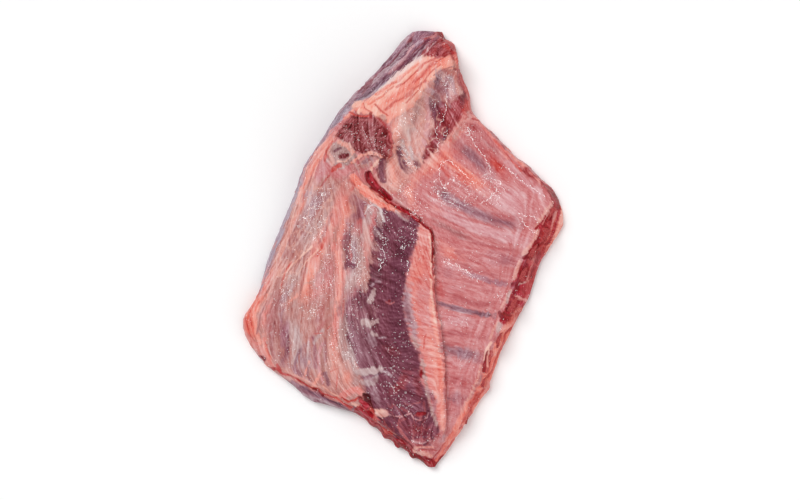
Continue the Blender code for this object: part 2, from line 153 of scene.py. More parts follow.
# Patches of tissue: tissue, softness and wander of the edge, lift in mm, outline. Lengths are pixels.
patches = {
    "flank": ("beige", 8, 5, 0, [(350, 175), (300, 180), (238, 320), (270, 372), (352, 412), (372, 400),
        (345, 340), (345, 290), (352, 230), (372, 205), (380, 190)]),
    "rib panel": ("pink", 4, 2, 0, [(470, 112), (560, 186), (566, 240), (500, 380), (440, 468), (430, 445),
        (441, 410), (438, 350), (431, 295), (430, 240), (416, 222), (398, 208), (380, 196), (396, 184),
        (428, 162), (446, 148), (456, 130)]),
    "valley membrane": ("membrane", 4, 3, 0, [(452, 66), (472, 112), (459, 130), (446, 150), (430, 163),
        (410, 186), (390, 196), (374, 176), (384, 162), (392, 145), (390, 125), (410, 98), (424, 86),
        (436, 72)]),
    "valley lean": ("wine", 3, 3, -0.4, [(433, 100), (440, 105), (446, 99), (450, 106), (456, 101),
        (459, 92), (467, 98), (469, 112), (462, 121), (455, 130), (448, 137), (440, 148), (432, 158),
        (425, 160), (428, 144), (434, 130), (430, 114)]),
    "flap muscle": ("plum", 4, 3, 0.3, [(376, 208), (392, 208), (408, 214), (418, 224), (418, 238),
        (412, 254), (410, 270), (406, 284), (402, 296), (404, 312), (408, 330), (413, 345), (420, 352),
        (420, 378), (428, 392), (433, 412), (440, 430), (438, 440), (424, 448), (400, 446), (382, 424),
        (366, 398), (362, 372), (350, 350), (343, 332), (348, 300), (366, 280), (372, 240)]),
    "fringe": ("salmon", 2, 1, 0.4, [(418, 222), (431, 229), (433, 262), (433, 296), (438, 325), (442, 350),
        (445, 380), (446, 412), (444, 431), (438, 424), (432, 400), (424, 380), (421, 352), (413, 332),
        (408, 312), (405, 292), (411, 262), (418, 240)]),
    "outer wall": ("wall", 3, 1, 0, [(414, 26), (436, 30), (440, 40), (428, 54), (413, 65), (403, 73),
        (390, 86), (375, 96), (352, 108), (336, 126), (318, 150), (304, 178), (284, 200), (330, 110),
        (360, 74), (396, 36)]),
    "neck meat": ("lean", 2, 2, 0.2, [(424, 38), (436, 32), (446, 33), (458, 50), (459, 64), (449, 61),
        (438, 58), (427, 59), (420, 57), (425, 47)]),
    "fat band": ("fat", 2, 2, 0.5, [(450, 56), (454, 66), (440, 73), (430, 82), (425, 92), (415, 103),
        (400, 117), (390, 126), (378, 118), (352, 114), (344, 121), (352, 107), (375, 96), (390, 85),
        (403, 72), (413, 64), (425, 58), (438, 58)]),
    "rough muscle": ("crus", 1.5, 3, 0.5, [(334, 136), (344, 123), (354, 116), (374, 119), (385, 130),
        (392, 144), (391, 156), (385, 161), (372, 156), (356, 153), (346, 143)]),
    "swirl of fat": ("greyFat", 2, 3, 0.4, [(330, 142), (343, 141), (354, 150), (358, 158), (350, 166),
        (338, 170), (328, 160)]),
    # The sawn lean is painted raw: its saturated red is painted light that makes up for the shade on this
    # steep face.
    "sawn lean": ("raw", 1.5, 2, 0, [(549, 204), (550, 188), (560, 188), (566, 206), (562, 224), (553, 244),
        (545, 260), (541, 276), (536, 297), (526, 304), (521, 315), (510, 328), (500, 320), (507, 302),
        (512, 284), (519, 267), (526, 252), (536, 238), (541, 222)]),
    "cut strip": ("greyMauve", 1.5, 1, 0, [(274, 373), (292, 381), (312, 390), (332, 400), (358, 408),
        (372, 420), (356, 424), (330, 412), (296, 394)]),
    # The torn side is painted raw: its saturated red is painted light that makes up for the shade on this
    # steep side.
    "torn side": ("raw", 2, 4, 0, [(362, 404), (371, 413), (380, 422), (389, 430), (397, 437), (407, 443),
        (418, 452), (430, 459), (438, 458), (446, 452), (448, 474), (432, 480), (400, 464), (370, 434),
        (350, 414)]),
}

# Brush strokes: tissue, width, softness, strength, lift in mm, line. Lengths are pixels.
neckStrokes = {
    "outer rim": ("lilac", 5, 2, 0.95, 0.4, [(405, 35), (391, 51), (379, 65), (367, 79), (351, 97),
        (335, 115)]),
    "upper groove": ("maroon", 4, 2, 0.8, -0.9, [(416, 33), (408, 44), (401, 52), (393, 60), (385, 68),
        (378, 76), (370, 84), (362, 91)]),
    "upper groove shade": ("slate", 2, 1, 0.6, -0.5, [(409, 42), (402, 48), (398, 57), (392, 61),
        (382, 72)]),
    "tongue": ("lilac", 5, 1.5, 0.95, 0.5, [(411, 44), (403, 53), (396, 62), (387, 71), (376, 82)]),
    "tongue edge": ("palePink", 2.5, 1.5, 0.7, 0, [(414, 46), (406, 56), (398, 66), (388, 75)]),
    "tip pink": ("rose", 8, 5, 0.7, 0, [(424, 36), (430, 38), (436, 36)]),
    "middle groove": ("maroon", 3, 1.5, 0.75, -0.8, [(426, 41), (414, 51), (404, 62), (395, 71),
        (384, 80)]),
    "slate band": ("purple", 5, 2, 0.9, -0.5, [(429, 40), (423, 48), (415, 57), (407, 64), (400, 69)]),
    "slate band low": ("slate", 6, 2, 0.8, -0.3, [(394, 74), (386, 80), (378, 87), (368, 93), (356, 101)]),
    "purple flecks": ("purple", 3.5, 2, 0.7, -0.2, [(415, 55), (409, 60)]),
    "lavender strip": ("lavender", 5, 2, 0.75, 0.2, [(392, 82), (378, 92), (362, 101), (348, 111),
        (337, 123)]),
    "lower wall": ("lavender", 7, 4, 0.6, 0, [(342, 112), (328, 132), (314, 154), (300, 180)]),
    "wall line": ("slate", 1.4, 1, 0.7, -0.4, [(372, 88), (358, 98), (346, 109), (334, 124), (322, 142)]),
    "pale seam": ("lilac", 2, 1, 0.7, 0.3, [(428, 46), (420, 52), (414, 60)]),
    "tip knob": ("salmon", 5, 1.5, 0.9, 0.9, [(439, 31), (443, 36)]),
    "tip knob edge": ("pink", 4, 2, 0.8, 0.4, [(432, 36), (437, 38)]),
    "dark neck meat": ("maroon", 6, 3, 0.9, -0.5, [(438, 38), (432, 47), (424, 55)]),
    "dark neck meat right": ("maroon", 4, 2, 0.8, -0.5, [(443, 38), (440, 47), (437, 55)]),
    "dark neck flecks": ("plum", 3, 2, 0.8, -0.3, [(437, 39), (431, 47)]),
    "neck thread": ("palePink", 1.5, 1, 0.7, 0.3, [(436, 42), (430, 48), (424, 56)]),
    "neck thread right": ("rose", 1.5, 1, 0.7, 0.3, [(444, 42), (443, 50), (440, 57)]),
    "neck corner": ("brightRed", 13, 3, 0.95, 0.2, [(448, 45), (453, 51), (455, 60)]),
    "neck red slot": ("blood", 2, 1, 0.8, -0.5, [(448, 50), (449, 60), (452, 70)]),
    "right red edge": ("brightRed", 11, 3, 0.95, 0.2, [(457, 58), (460, 70), (466, 82), (470, 94),
        (474, 105), (478, 113)]),
    "right dark edge": ("wine", 2.5, 1, 0.6, -0.2, [(453, 66), (458, 78), (462, 90), (465, 102)]),
}
bandStrokes = {
    "cream top": ("cream", 11, 4, 0.9, 0.3, [(424, 63), (412, 70), (402, 79), (390, 90), (378, 99),
        (366, 105)]),
    "orange lower side": ("orange", 6, 4, 0.5, 0, [(446, 60), (432, 69), (422, 81), (410, 93), (396, 105)]),
    "yellow low": ("cream", 7, 3, 0.7, 0.2, [(448, 66), (438, 71), (428, 79), (420, 90), (408, 102),
        (396, 112)]),
    "white rim": ("ice", 3, 2, 0.5, 0.2, [(420, 60), (410, 67), (400, 75), (390, 84), (378, 93)]),
    "orange middle": ("orange", 8, 5, 0.4, 0, [(430, 66), (418, 76), (406, 88), (394, 97)]),
    "deep crease": ("crease", 2.4, 2, 0.85, -0.6, [(442, 59), (431, 66), (426, 72), (421, 79), (415, 83),
        (410, 89)]),
    "deep crease run": ("orange", 3, 2, 0.9, -0.4, [(412, 87), (404, 92), (396, 97), (388, 103)]),
    "low crease": ("crease", 2.4, 2, 0.8, -0.5, [(426, 82), (416, 89), (409, 96), (400, 101), (394, 104),
        (386, 111)]),
    "thin crease": ("crease", 1.5, 1, 0.8, -0.6, [(436, 59), (424, 65), (414, 75), (404, 85), (397, 89)]),
    "long crease": ("orange", 2, 1.2, 0.8, -0.5, [(418, 66), (408, 74), (398, 82), (386, 90), (376, 97)]),
    "edge crease": ("crease", 1.4, 0.9, 0.7, -0.5, [(440, 66), (430, 74), (424, 82), (417, 93),
        (406, 104)]),
    "short crease": ("crease", 1.5, 1, 0.6, -0.4, [(394, 88), (388, 92), (384, 97)]),
    "high crease": ("crease", 1.5, 1, 0.5, -0.4, [(403, 79), (399, 83), (392, 85)]),
    "end creases": ("orange", 1.6, 1, 0.8, -0.4, [(384, 98), (376, 102), (368, 107)]),
    "under line": ("brownRose", 1.2, 0.8, 0.7, -0.4, [(450, 67), (442, 71), (433, 77)]),
    "first lobe": ("cream", 4.5, 1.2, 0.9, 0.9, [(355, 108), (360, 106)]),
    "second lobe": ("cream", 4.5, 1.2, 0.9, 0.9, [(367, 107), (371, 112)]),
    "third lobe": ("cream", 4, 1.2, 0.9, 0.9, [(362, 112), (358, 114)]),
    "fourth lobe": ("cream", 4.5, 1.2, 0.9, 0.9, [(375, 111), (378, 116), (384, 119)]),
    "between lobes": ("crease", 1.6, 0.8, 0.9, -0.7, [(350, 113), (356, 117), (364, 118), (371, 117)]),
    "between lobes right": ("blood", 2, 1, 0.8, -0.6, [(371, 120), (371, 115)]),
    "lobe gap": ("crease", 1.3, 0.8, 0.8, -0.6, [(364, 105), (365, 110), (372, 114)]),
    "lobe gap right": ("crease", 1.3, 0.8, 0.8, -0.6, [(375, 106), (381, 112), (388, 117)]),
}
valleyStrokes = {
    "streaked beige": ("peach", 9, 6, 0.6, 0.2, [(410, 108), (404, 128), (400, 150)]),
    "grey streak": ("greyFat", 6, 5, 0.7, 0, [(420, 100), (414, 120), (408, 138)]),
    "lilac lobe": ("mauve", 14, 5, 0.9, -0.3, [(443, 76), (440, 88), (439, 102)]),
    "slate lobe": ("slate", 5, 3, 0.8, -0.3, [(440, 74), (437, 80), (436, 88)]),
    "lilac streaks": ("lilac", 4, 3, 0.7, 0, [(432, 86), (431, 98), (430, 108)]),
    "lilac streaks right": ("lilac", 3, 2, 0.45, 0.2, [(449, 76), (452, 88), (456, 98)]),
    "pale tongue": ("lilac", 2.5, 2, 0.7, 0.2, [(446, 90), (448, 102), (450, 108)]),
    "pale streaks low": ("beige", 2.5, 1.5, 0.7, 0.2, [(454, 118), (449, 130), (441, 142)]),
    "pale streaks lower": ("beige", 2.5, 1.5, 0.7, 0.2, [(462, 120), (454, 132), (446, 142)]),
    "pale lobe": ("lilac", 5, 4, 0.5, 0.3, [(450, 73), (452, 84), (451, 94)]),
    "pale lobe streak": ("mauve", 2, 1.5, 0.7, -0.2, [(446, 78), (447, 90), (448, 104)]),
    "pale lobe right": ("lean", 6, 3, 0.8, 0, [(456, 76), (461, 88)]),
    "pale left": ("palePink", 5, 4, 0.7, 0.3, [(428, 84), (427, 106), (428, 128), (423, 150)]),
    "plum lobe": ("plum", 10, 3, 1.0, -0.8, [(434, 100), (437, 114), (442, 126), (442, 134)]),
    "plum lobe core": ("maroon", 5, 3, 0.8, -0.2, [(438, 110), (441, 120), (444, 130)]),
    "red lobe": ("lean", 13, 4, 1.0, -0.5, [(455, 102), (458, 112), (452, 121), (447, 129)]),
    "red lobe right": ("brightRed", 6, 3, 0.8, -0.3, [(465, 98), (467, 108), (462, 119)]),
    "red lobe top": ("maroon", 4, 2, 0.9, -0.4, [(462, 92), (461, 102)]),
    "red lobe depth": ("wine", 11, 4, 0.85, -0.2, [(456, 104), (457, 112), (453, 120), (450, 126)]),
    "lean between lobes": ("wine", 9, 3, 0.9, -0.3, [(441, 116), (442, 126), (440, 136)]),
    "finger": ("plum", 3, 1.5, 0.9, -0.3, [(446, 128), (447, 134), (443, 140)]),
    "second finger": ("wine", 3, 1.5, 0.8, -0.3, [(452, 120), (450, 128), (447, 134)]),
    "left blob": ("wine", 8, 3, 0.95, -0.3, [(434, 132), (433, 140), (431, 148), (427, 158)]),
    "left blob core": ("maroon", 3.5, 2, 0.8, -0.2, [(436, 134), (436, 143), (433, 152)]),
    "crescent": ("plum", 7, 2.5, 0.95, -0.5, [(398, 143), (399, 154), (404, 166), (409, 172)]),
    "crescent ice": ("paleGrey", 3.5, 2, 0.85, 0.2, [(402, 141), (405, 152), (409, 162)]),
    "second crescent": ("plum", 6, 2.5, 0.85, -0.3, [(415, 156), (417, 164), (420, 171)]),
    "second ice": ("paleGrey", 3.5, 2, 0.8, 0.2, [(411, 148), (412, 160)]),
    "third crescent": ("maroon", 3, 1.5, 0.8, -0.2, [(424, 156), (424, 163)]),
    "beige fan": ("salmon", 10, 5, 0.9, 0.4, [(470, 118), (459, 130), (450, 144), (438, 158), (422, 172),
        (404, 186)]),
    "beige fan light": ("beige", 5, 4, 0.8, 0.2, [(462, 124), (456, 134), (451, 146)]),
    "orange knuckle": ("orange", 9, 5, 0.6, 0, [(456, 150), (444, 158), (434, 168), (426, 176)]),
    "sternum light": ("fat", 8, 5, 0.7, 0.3, [(396, 120), (394, 140), (392, 165), (396, 190)]),
    "sternum grain": ("beige", 6, 4, 0.6, 0, [(412, 176), (404, 184), (398, 196), (406, 206)]),
    "cartilage light": ("fat", 7, 5, 0.7, 0.3, [(416, 182), (408, 192), (414, 206)]),
}
crusStrokes = {
    "right body": ("wine", 9, 3, 0.9, 0, [(381, 122), (386, 134), (389, 148), (387, 158)]),
    "bright rim": ("red", 2, 1.2, 0.8, 0.2, [(379, 120), (385, 126), (390, 136), (392, 150), (389, 158)]),
    "rim hole": ("darkRed", 2.5, 1, 0.8, -0.5, [(384, 130), (387, 135)]),
    "top light": ("rose", 2, 1.5, 0.6, 0.3, [(372, 122), (356, 121), (344, 126)]),
    "swirl top": ("fat", 4, 2, 0.8, 0.5, [(340, 143), (348, 146), (354, 153)]),
    "swirl left": ("peach", 4, 2, 0.8, 0.5, [(331, 144), (329, 154), (333, 164)]),
    "swirl eye": ("maroon", 5, 1.5, 0.95, -0.8, [(341, 157), (347, 156)]),
    "swirl eye tail": ("plum", 2.5, 1, 0.8, -0.5, [(335, 152), (341, 149)]),
    "swirl eye rim": ("cream", 1.6, 1, 0.8, 0.4, [(338, 162), (346, 162), (351, 157)]),
    "sheet edge": ("fat", 3, 1.2, 0.95, 0.7, [(352, 163), (362, 156), (372, 153), (382, 157)]),
    "sheet": ("beige", 7, 3, 0.9, 0.3, [(354, 170), (364, 164), (376, 160)]),
    "sheet shade": ("greyMauve", 4, 2, 0.7, -0.3, [(364, 163), (370, 160)]),
    "sheet tail": ("cream", 2.5, 1.2, 0.9, 0.4, [(380, 160), (372, 168), (371, 176)]),
    "dark slot": ("plum", 7, 2, 0.95, -1.0, [(383, 163), (382, 172), (383, 180)]),
    "slot streak": ("brownRose", 1.8, 1, 0.8, 0.4, [(385, 162), (385, 172), (386, 180)]),
    "slot red": ("maroon", 2, 1, 0.9, -0.5, [(377, 170), (379, 178)]),
    "left fat": ("fat", 7, 3, 0.85, 0.4, [(334, 136), (324, 150), (312, 168), (303, 186)]),
    "left fat crease": ("crease", 1.8, 1, 0.85, -0.6, [(333, 142), (327, 152), (325, 162)]),
    "left fat crease low": ("orange", 2, 1, 0.8, -0.5, [(318, 160), (312, 172), (306, 184)]),
    "left red slot": ("crease", 3, 1.2, 0.9, -0.6, [(306, 177), (303, 188)]),
    "left dark spot": ("maroon", 2, 1, 0.9, -0.5, [(300, 190), (302, 191)]),
    "swirl red": ("brightRed", 4, 1.5, 0.95, -0.6, [(332, 172), (336, 168), (340, 166)]),
    "under swirl": ("palePink", 6, 3, 0.8, 0.2, [(326, 164), (322, 176), (314, 186)]),
    "fold line": ("brownRose", 1.6, 1.5, 0.6, -0.4, [(358, 170), (350, 174), (343, 182), (335, 184),
        (328, 192), (318, 195)]),
    "fold red": ("red", 2, 1, 0.8, -0.5, [(329, 176), (324, 183), (320, 188)]),
}
pocketStrokes = {
    # The pocket under the flap's free edge: its dark reds are partly the flesh inside and partly painted
    # shade in the gap; the red line beside the flap's edge is a painted shadow line.
    "pocket": ("darkRed", 8, 1.5, 1.0, -1.6, [(368, 176), (374, 185), (381, 194), (388, 200)]),
    "pocket low side": ("raw", 3, 1.5, 0.95, -0.3, [(371, 176), (377, 184), (384, 192), (391, 199)]),
    "pocket depth": ("blood", 4, 3, 0.8, -0.8, [(367, 178), (373, 188), (380, 196)]),
    "pocket line": ("raw", 4.6, 1.2, 1.0, -1.2, [(386, 199), (396, 206), (407, 212), (416, 218),
        (420, 221)]),
    "pocket line low side": ("darkRed", 1.8, 1, 0.9, -0.5, [(388, 204), (398, 210), (410, 217),
        (418, 222)]),
    "red line": ("blood", 2.4, 0.8, 1.0, -0.8, [(420, 221), (424, 226), (430, 229), (432.5, 236),
        (432.5, 262)]),
    "red line end": ("red", 1.6, 0.8, 0.8, -0.5, [(433, 262), (433, 276)]),
    "lip shadow": ("crease", 1.4, 0.8, 0.6, -0.4, [(433.6, 276), (434, 298), (438.5, 325), (443, 350),
        (446, 384), (446.4, 420)]),
    "top fat": ("orange", 9, 2, 1.0, 0.5, [(354, 178), (362, 188), (376, 199), (392, 207)]),
    "top fat thin": ("orange", 5, 2, 0.95, 0.4, [(388, 206), (400, 212), (408, 217)]),
    "top fat ice": ("paleGrey", 2, 1, 0.7, 0.3, [(396, 212), (402, 218), (408, 221)]),
    "top fat light": ("fat", 3.5, 2, 0.8, 0.4, [(362, 186), (372, 195), (386, 203)]),
    "top fat red": ("brightRed", 3, 2, 0.6, -0.3, [(350, 180), (354, 186), (352, 190)]),
    "top fat dot": ("blood", 1.4, 0.8, 0.8, -0.2, [(385, 208), (386, 208.5)]),
    "under top fat": ("plum", 5, 2, 0.8, 0, [(404, 214), (412, 219), (417, 225)]),
    "mauve start": ("mauve", 9, 4, 0.9, 0, [(353, 200), (362, 204), (360, 214), (352, 222)]),
    "muscle left shade": ("plum", 7, 3, 0.7, 0, [(349, 228), (347, 242), (348, 256), (350, 268)]),
}
muscleStrokes = {
    "purple body": ("purple", 15, 7, 0.9, 0, [(408, 226), (404, 246), (398, 270), (396, 300), (398, 330),
        (406, 350), (411, 364)]),
    "upper left dark": ("plum", 10, 4, 0.9, 0, [(386, 214), (384, 224), (390, 236)]),
    "brown mauve": ("brownRose", 8, 4, 0.7, 0, [(374, 252), (374, 264)]),
    "left purple": ("plum", 9, 4, 0.9, 0, [(378, 270), (374, 282), (366, 296), (352, 304)]),
    "left half veil": ("greyMauve", 19, 6, 0.8, 0.1, [(357, 300), (359, 326), (364, 352), (370, 366)]),
    "U left arm": ("paleGrey", 8, 2.5, 0.85, 0.5, [(372, 206), (368, 216), (366, 230), (366, 246)]),
    "U right arm": ("greyFat", 7, 2.5, 0.95, 0.5, [(376, 208), (381, 218), (380, 226)]),
    "U comb": ("ice", 2, 1, 0.7, 0.4, [(365, 214), (369, 206), (376, 205), (381, 211), (384, 222)]),
    "long mottle": ("greyFat", 12, 3, 0.95, 0.4, [(356, 228), (357, 246), (360, 262), (361, 284)]),
    "long mottle ice": ("lilac", 6, 4, 0.7, 0.2, [(353, 238), (355, 254), (353, 272)]),
    "beige mottle": ("peach", 7, 4, 0.6, 0.3, [(367, 222), (367, 244), (368, 262)]),
    "grey knot": ("paleGrey", 6, 2.5, 0.8, 0.4, [(375, 233), (380, 236)]),
    "knot tail": ("beige", 6, 3, 0.8, 0.3, [(373, 240), (376, 248)]),
    "dark knot hole": ("slate", 2.5, 1.2, 0.7, -0.3, [(378, 229), (381, 230)]),
    "low mottle": ("greyFat", 9, 3, 0.9, 0.4, [(350, 272), (352, 284), (346, 296)]),
    "low mottle right": ("beige", 8, 3, 0.9, 0.4, [(366, 264), (366, 278), (362, 288)]),
    "dark blob": ("plum", 5, 1.5, 0.95, -0.3, [(349, 265), (354, 266)]),
    "dark left edge": ("maroon", 6, 3, 0.85, -0.3, [(343, 244), (347, 252)]),
    "slate left edge": ("greyMauve", 5, 3, 0.8, -0.2, [(348, 228), (347, 240)]),
    "slate left low": ("plum", 4, 2, 0.8, -0.3, [(348, 260), (346, 268)]),
    "crescent light": ("lilac", 2.5, 1.5, 0.75, 0.3, [(371, 286), (375, 282), (380, 282)]),
    "teardrop": ("paleGrey", 5, 2, 0.85, 0.4, [(374, 290), (373, 295), (370, 301)]),
    "purple left": ("mauve", 12, 5, 0.7, 0, [(356, 292), (352, 306), (358, 320)]),
    "first island": ("paleGrey", 7, 1.8, 0.95, 0.5, [(363, 322), (372, 323)]),
    "first island tail": ("paleGrey", 4, 1.5, 0.8, 0.4, [(374, 322), (377, 321)]),
    "left grey": ("greyFat", 9, 4, 0.85, 0.3, [(340, 314), (342, 332), (345, 348)]),
    "pale comb": ("mauve", 9, 5, 0.6, 0.2, [(350, 312), (362, 314), (372, 310)]),
    "second island": ("lilac", 8, 2.5, 0.9, 0.4, [(369, 337), (374, 343)]),
    "second island top": ("paleGrey", 4, 2, 0.8, 0.4, [(372, 333), (377, 335)]),
    "second island tail": ("lilac", 2, 1, 0.7, 0.3, [(378, 338), (386, 337)]),
    "purple middle": ("greyMauve", 12, 5, 0.8, 0, [(362, 338), (364, 350), (372, 358)]),
    "red heart": ("maroon", 9, 4, 0.85, 0, [(386, 348), (396, 352)]),
    "left edge grey": ("paleGrey", 11, 5, 0.8, 0.3, [(345, 344), (349, 362), (354, 380)]),
    "left edge frost": ("paleGrey", 5, 4, 0.6, 0.3, [(350, 350), (352, 360)]),
    "third island": ("paleGrey", 6, 2, 0.9, 0.4, [(358, 372), (370, 371), (380, 369)]),
    "third island arc": ("lilac", 1.8, 1, 0.8, 0.3, [(380, 370), (386, 371), (391, 375)]),
    "third island line": ("slate", 1.4, 0.8, 0.9, -0.4, [(371, 378), (376, 375), (380, 373)]),
    "fourth island": ("paleGrey", 7, 3, 0.85, 0.3, [(356, 382), (366, 382), (374, 380)]),
    "island gap": ("greyMauve", 4, 2, 0.8, -0.2, [(362, 377), (370, 377)]),
    "low purple": ("greyMauve", 9, 4, 0.9, 0, [(366, 388), (372, 392), (374, 398)]),
    "low light": ("lilac", 6, 3, 0.35, 0.2, [(376, 394), (378, 404)]),
    "low plum": ("plum", 9, 4, 0.9, 0, [(386, 400), (394, 404), (402, 408)]),
    "low red": ("lean", 8, 5, 0.6, 0, [(406, 374), (402, 384), (392, 392)]),
    "low red core": ("maroon", 4, 2, 0.8, -0.2, [(405, 376), (402, 384)]),
    "low red right": ("maroon", 6, 4, 0.7, 0, [(416, 372), (417, 384), (422, 398)]),
    "cream patch": ("peach", 8, 2, 0.9, 0.5, [(375, 412), (385, 413)]),
    "cream patch light": ("cream", 3, 2, 0.6, 0.3, [(376, 410), (382, 411)]),
    "arc": ("palePink", 1.6, 0.8, 0.85, 0.4, [(388, 413), (394, 416), (402, 416), (410, 413)]),
    "thread down": ("rose", 1.6, 0.8, 0.85, 0.4, [(400, 416), (398, 424), (400, 432), (408, 440)]),
    "hole rim": ("palePink", 1.4, 0.8, 0.8, 0.4, [(411, 413), (414, 418), (420, 420), (427, 417),
        (428, 412)]),
    "blood hole": ("blood", 5, 1.2, 1.0, -1.2, [(418, 414), (424, 413)]),
    "fringe hole": ("blood", 5, 1.2, 1.0, -1.0, [(421, 372), (423, 376)]),
    "low fringe hole": ("blood", 4, 1.2, 0.9, -0.8, [(431, 395), (433, 399)]),
    "small hole": ("darkRed", 2.4, 1, 0.9, -0.8, [(389, 300), (390, 300.6)]),
    "small hole rim": ("rose", 1.2, 0.8, 0.8, 0.3, [(386, 302), (390, 304), (394, 302)]),
    "dark end": ("purple", 5, 3, 0.85, -0.2, [(428, 410), (432, 420)]),
    "muscle end red": ("wine", 12, 6, 0.6, 0, [(404, 424), (416, 430), (430, 430)]),
    "end threads": ("rose", 2, 1, 0.8, 0.4, [(398, 426), (403, 433), (408, 440)]),
    "end ridge": ("rose", 4, 3, 0.7, 0.3, [(412, 442), (424, 440), (434, 436)]),
}
fringeStrokes = {
    "pale seam": ("lilac", 7, 4, 0.8, 0.2, [(409, 286), (407, 298), (409, 310), (413, 324), (417, 342)]),
    "seam shade": ("greyMauve", 4, 3, 0.7, 0, [(407, 288), (405, 300), (407, 312), (411, 326)]),
    "grey seam": ("greyFat", 4, 2, 0.85, 0.2, [(412, 336), (417, 346)]),
    "low seam": ("greyFat", 3.5, 2, 0.85, 0.2, [(422, 358), (426, 384), (431, 408), (437, 424)]),
    "red middle": ("orange", 10, 6, 0.5, 0, [(420, 258), (418, 272), (414, 282)]),
    "pink middle": ("pink", 14, 6, 0.8, 0, [(424, 282), (423, 298), (425, 308)]),
    "pink below": ("palePink", 12, 5, 0.6, 0, [(425, 312), (428, 330)]),
    "low fat": ("fat", 6, 4, 0.45, 0.2, [(428, 330), (433, 350), (437, 376), (439, 404)]),
    "edge fat": ("fat", 4, 2, 0.7, 0.4, [(430, 300), (434, 325), (438, 345), (441, 372), (442, 400),
        (442, 428)]),
    "edge light": ("cream", 2, 1, 0.85, 0.4, [(430, 234), (430.6, 262), (431, 292), (435, 322)]),
    "edge red ticks": ("orange", 4, 2, 0.7, -0.2, [(438, 356), (440, 370), (441, 388)]),
    "slanting red": ("crease", 1.6, 0.8, 0.8, -0.4, [(423, 256), (426, 265), (431, 278)]),
    "slanting red high": ("crease", 1.4, 0.8, 0.7, -0.4, [(424, 246), (428, 254), (431, 262)]),
    "short red": ("crease", 1.5, 0.8, 0.8, -0.4, [(426, 334), (424, 340), (423.5, 348)]),
    "low grey": ("mauve", 4, 3, 0.7, 0.2, [(426, 386), (432, 396), (436, 412)]),
}
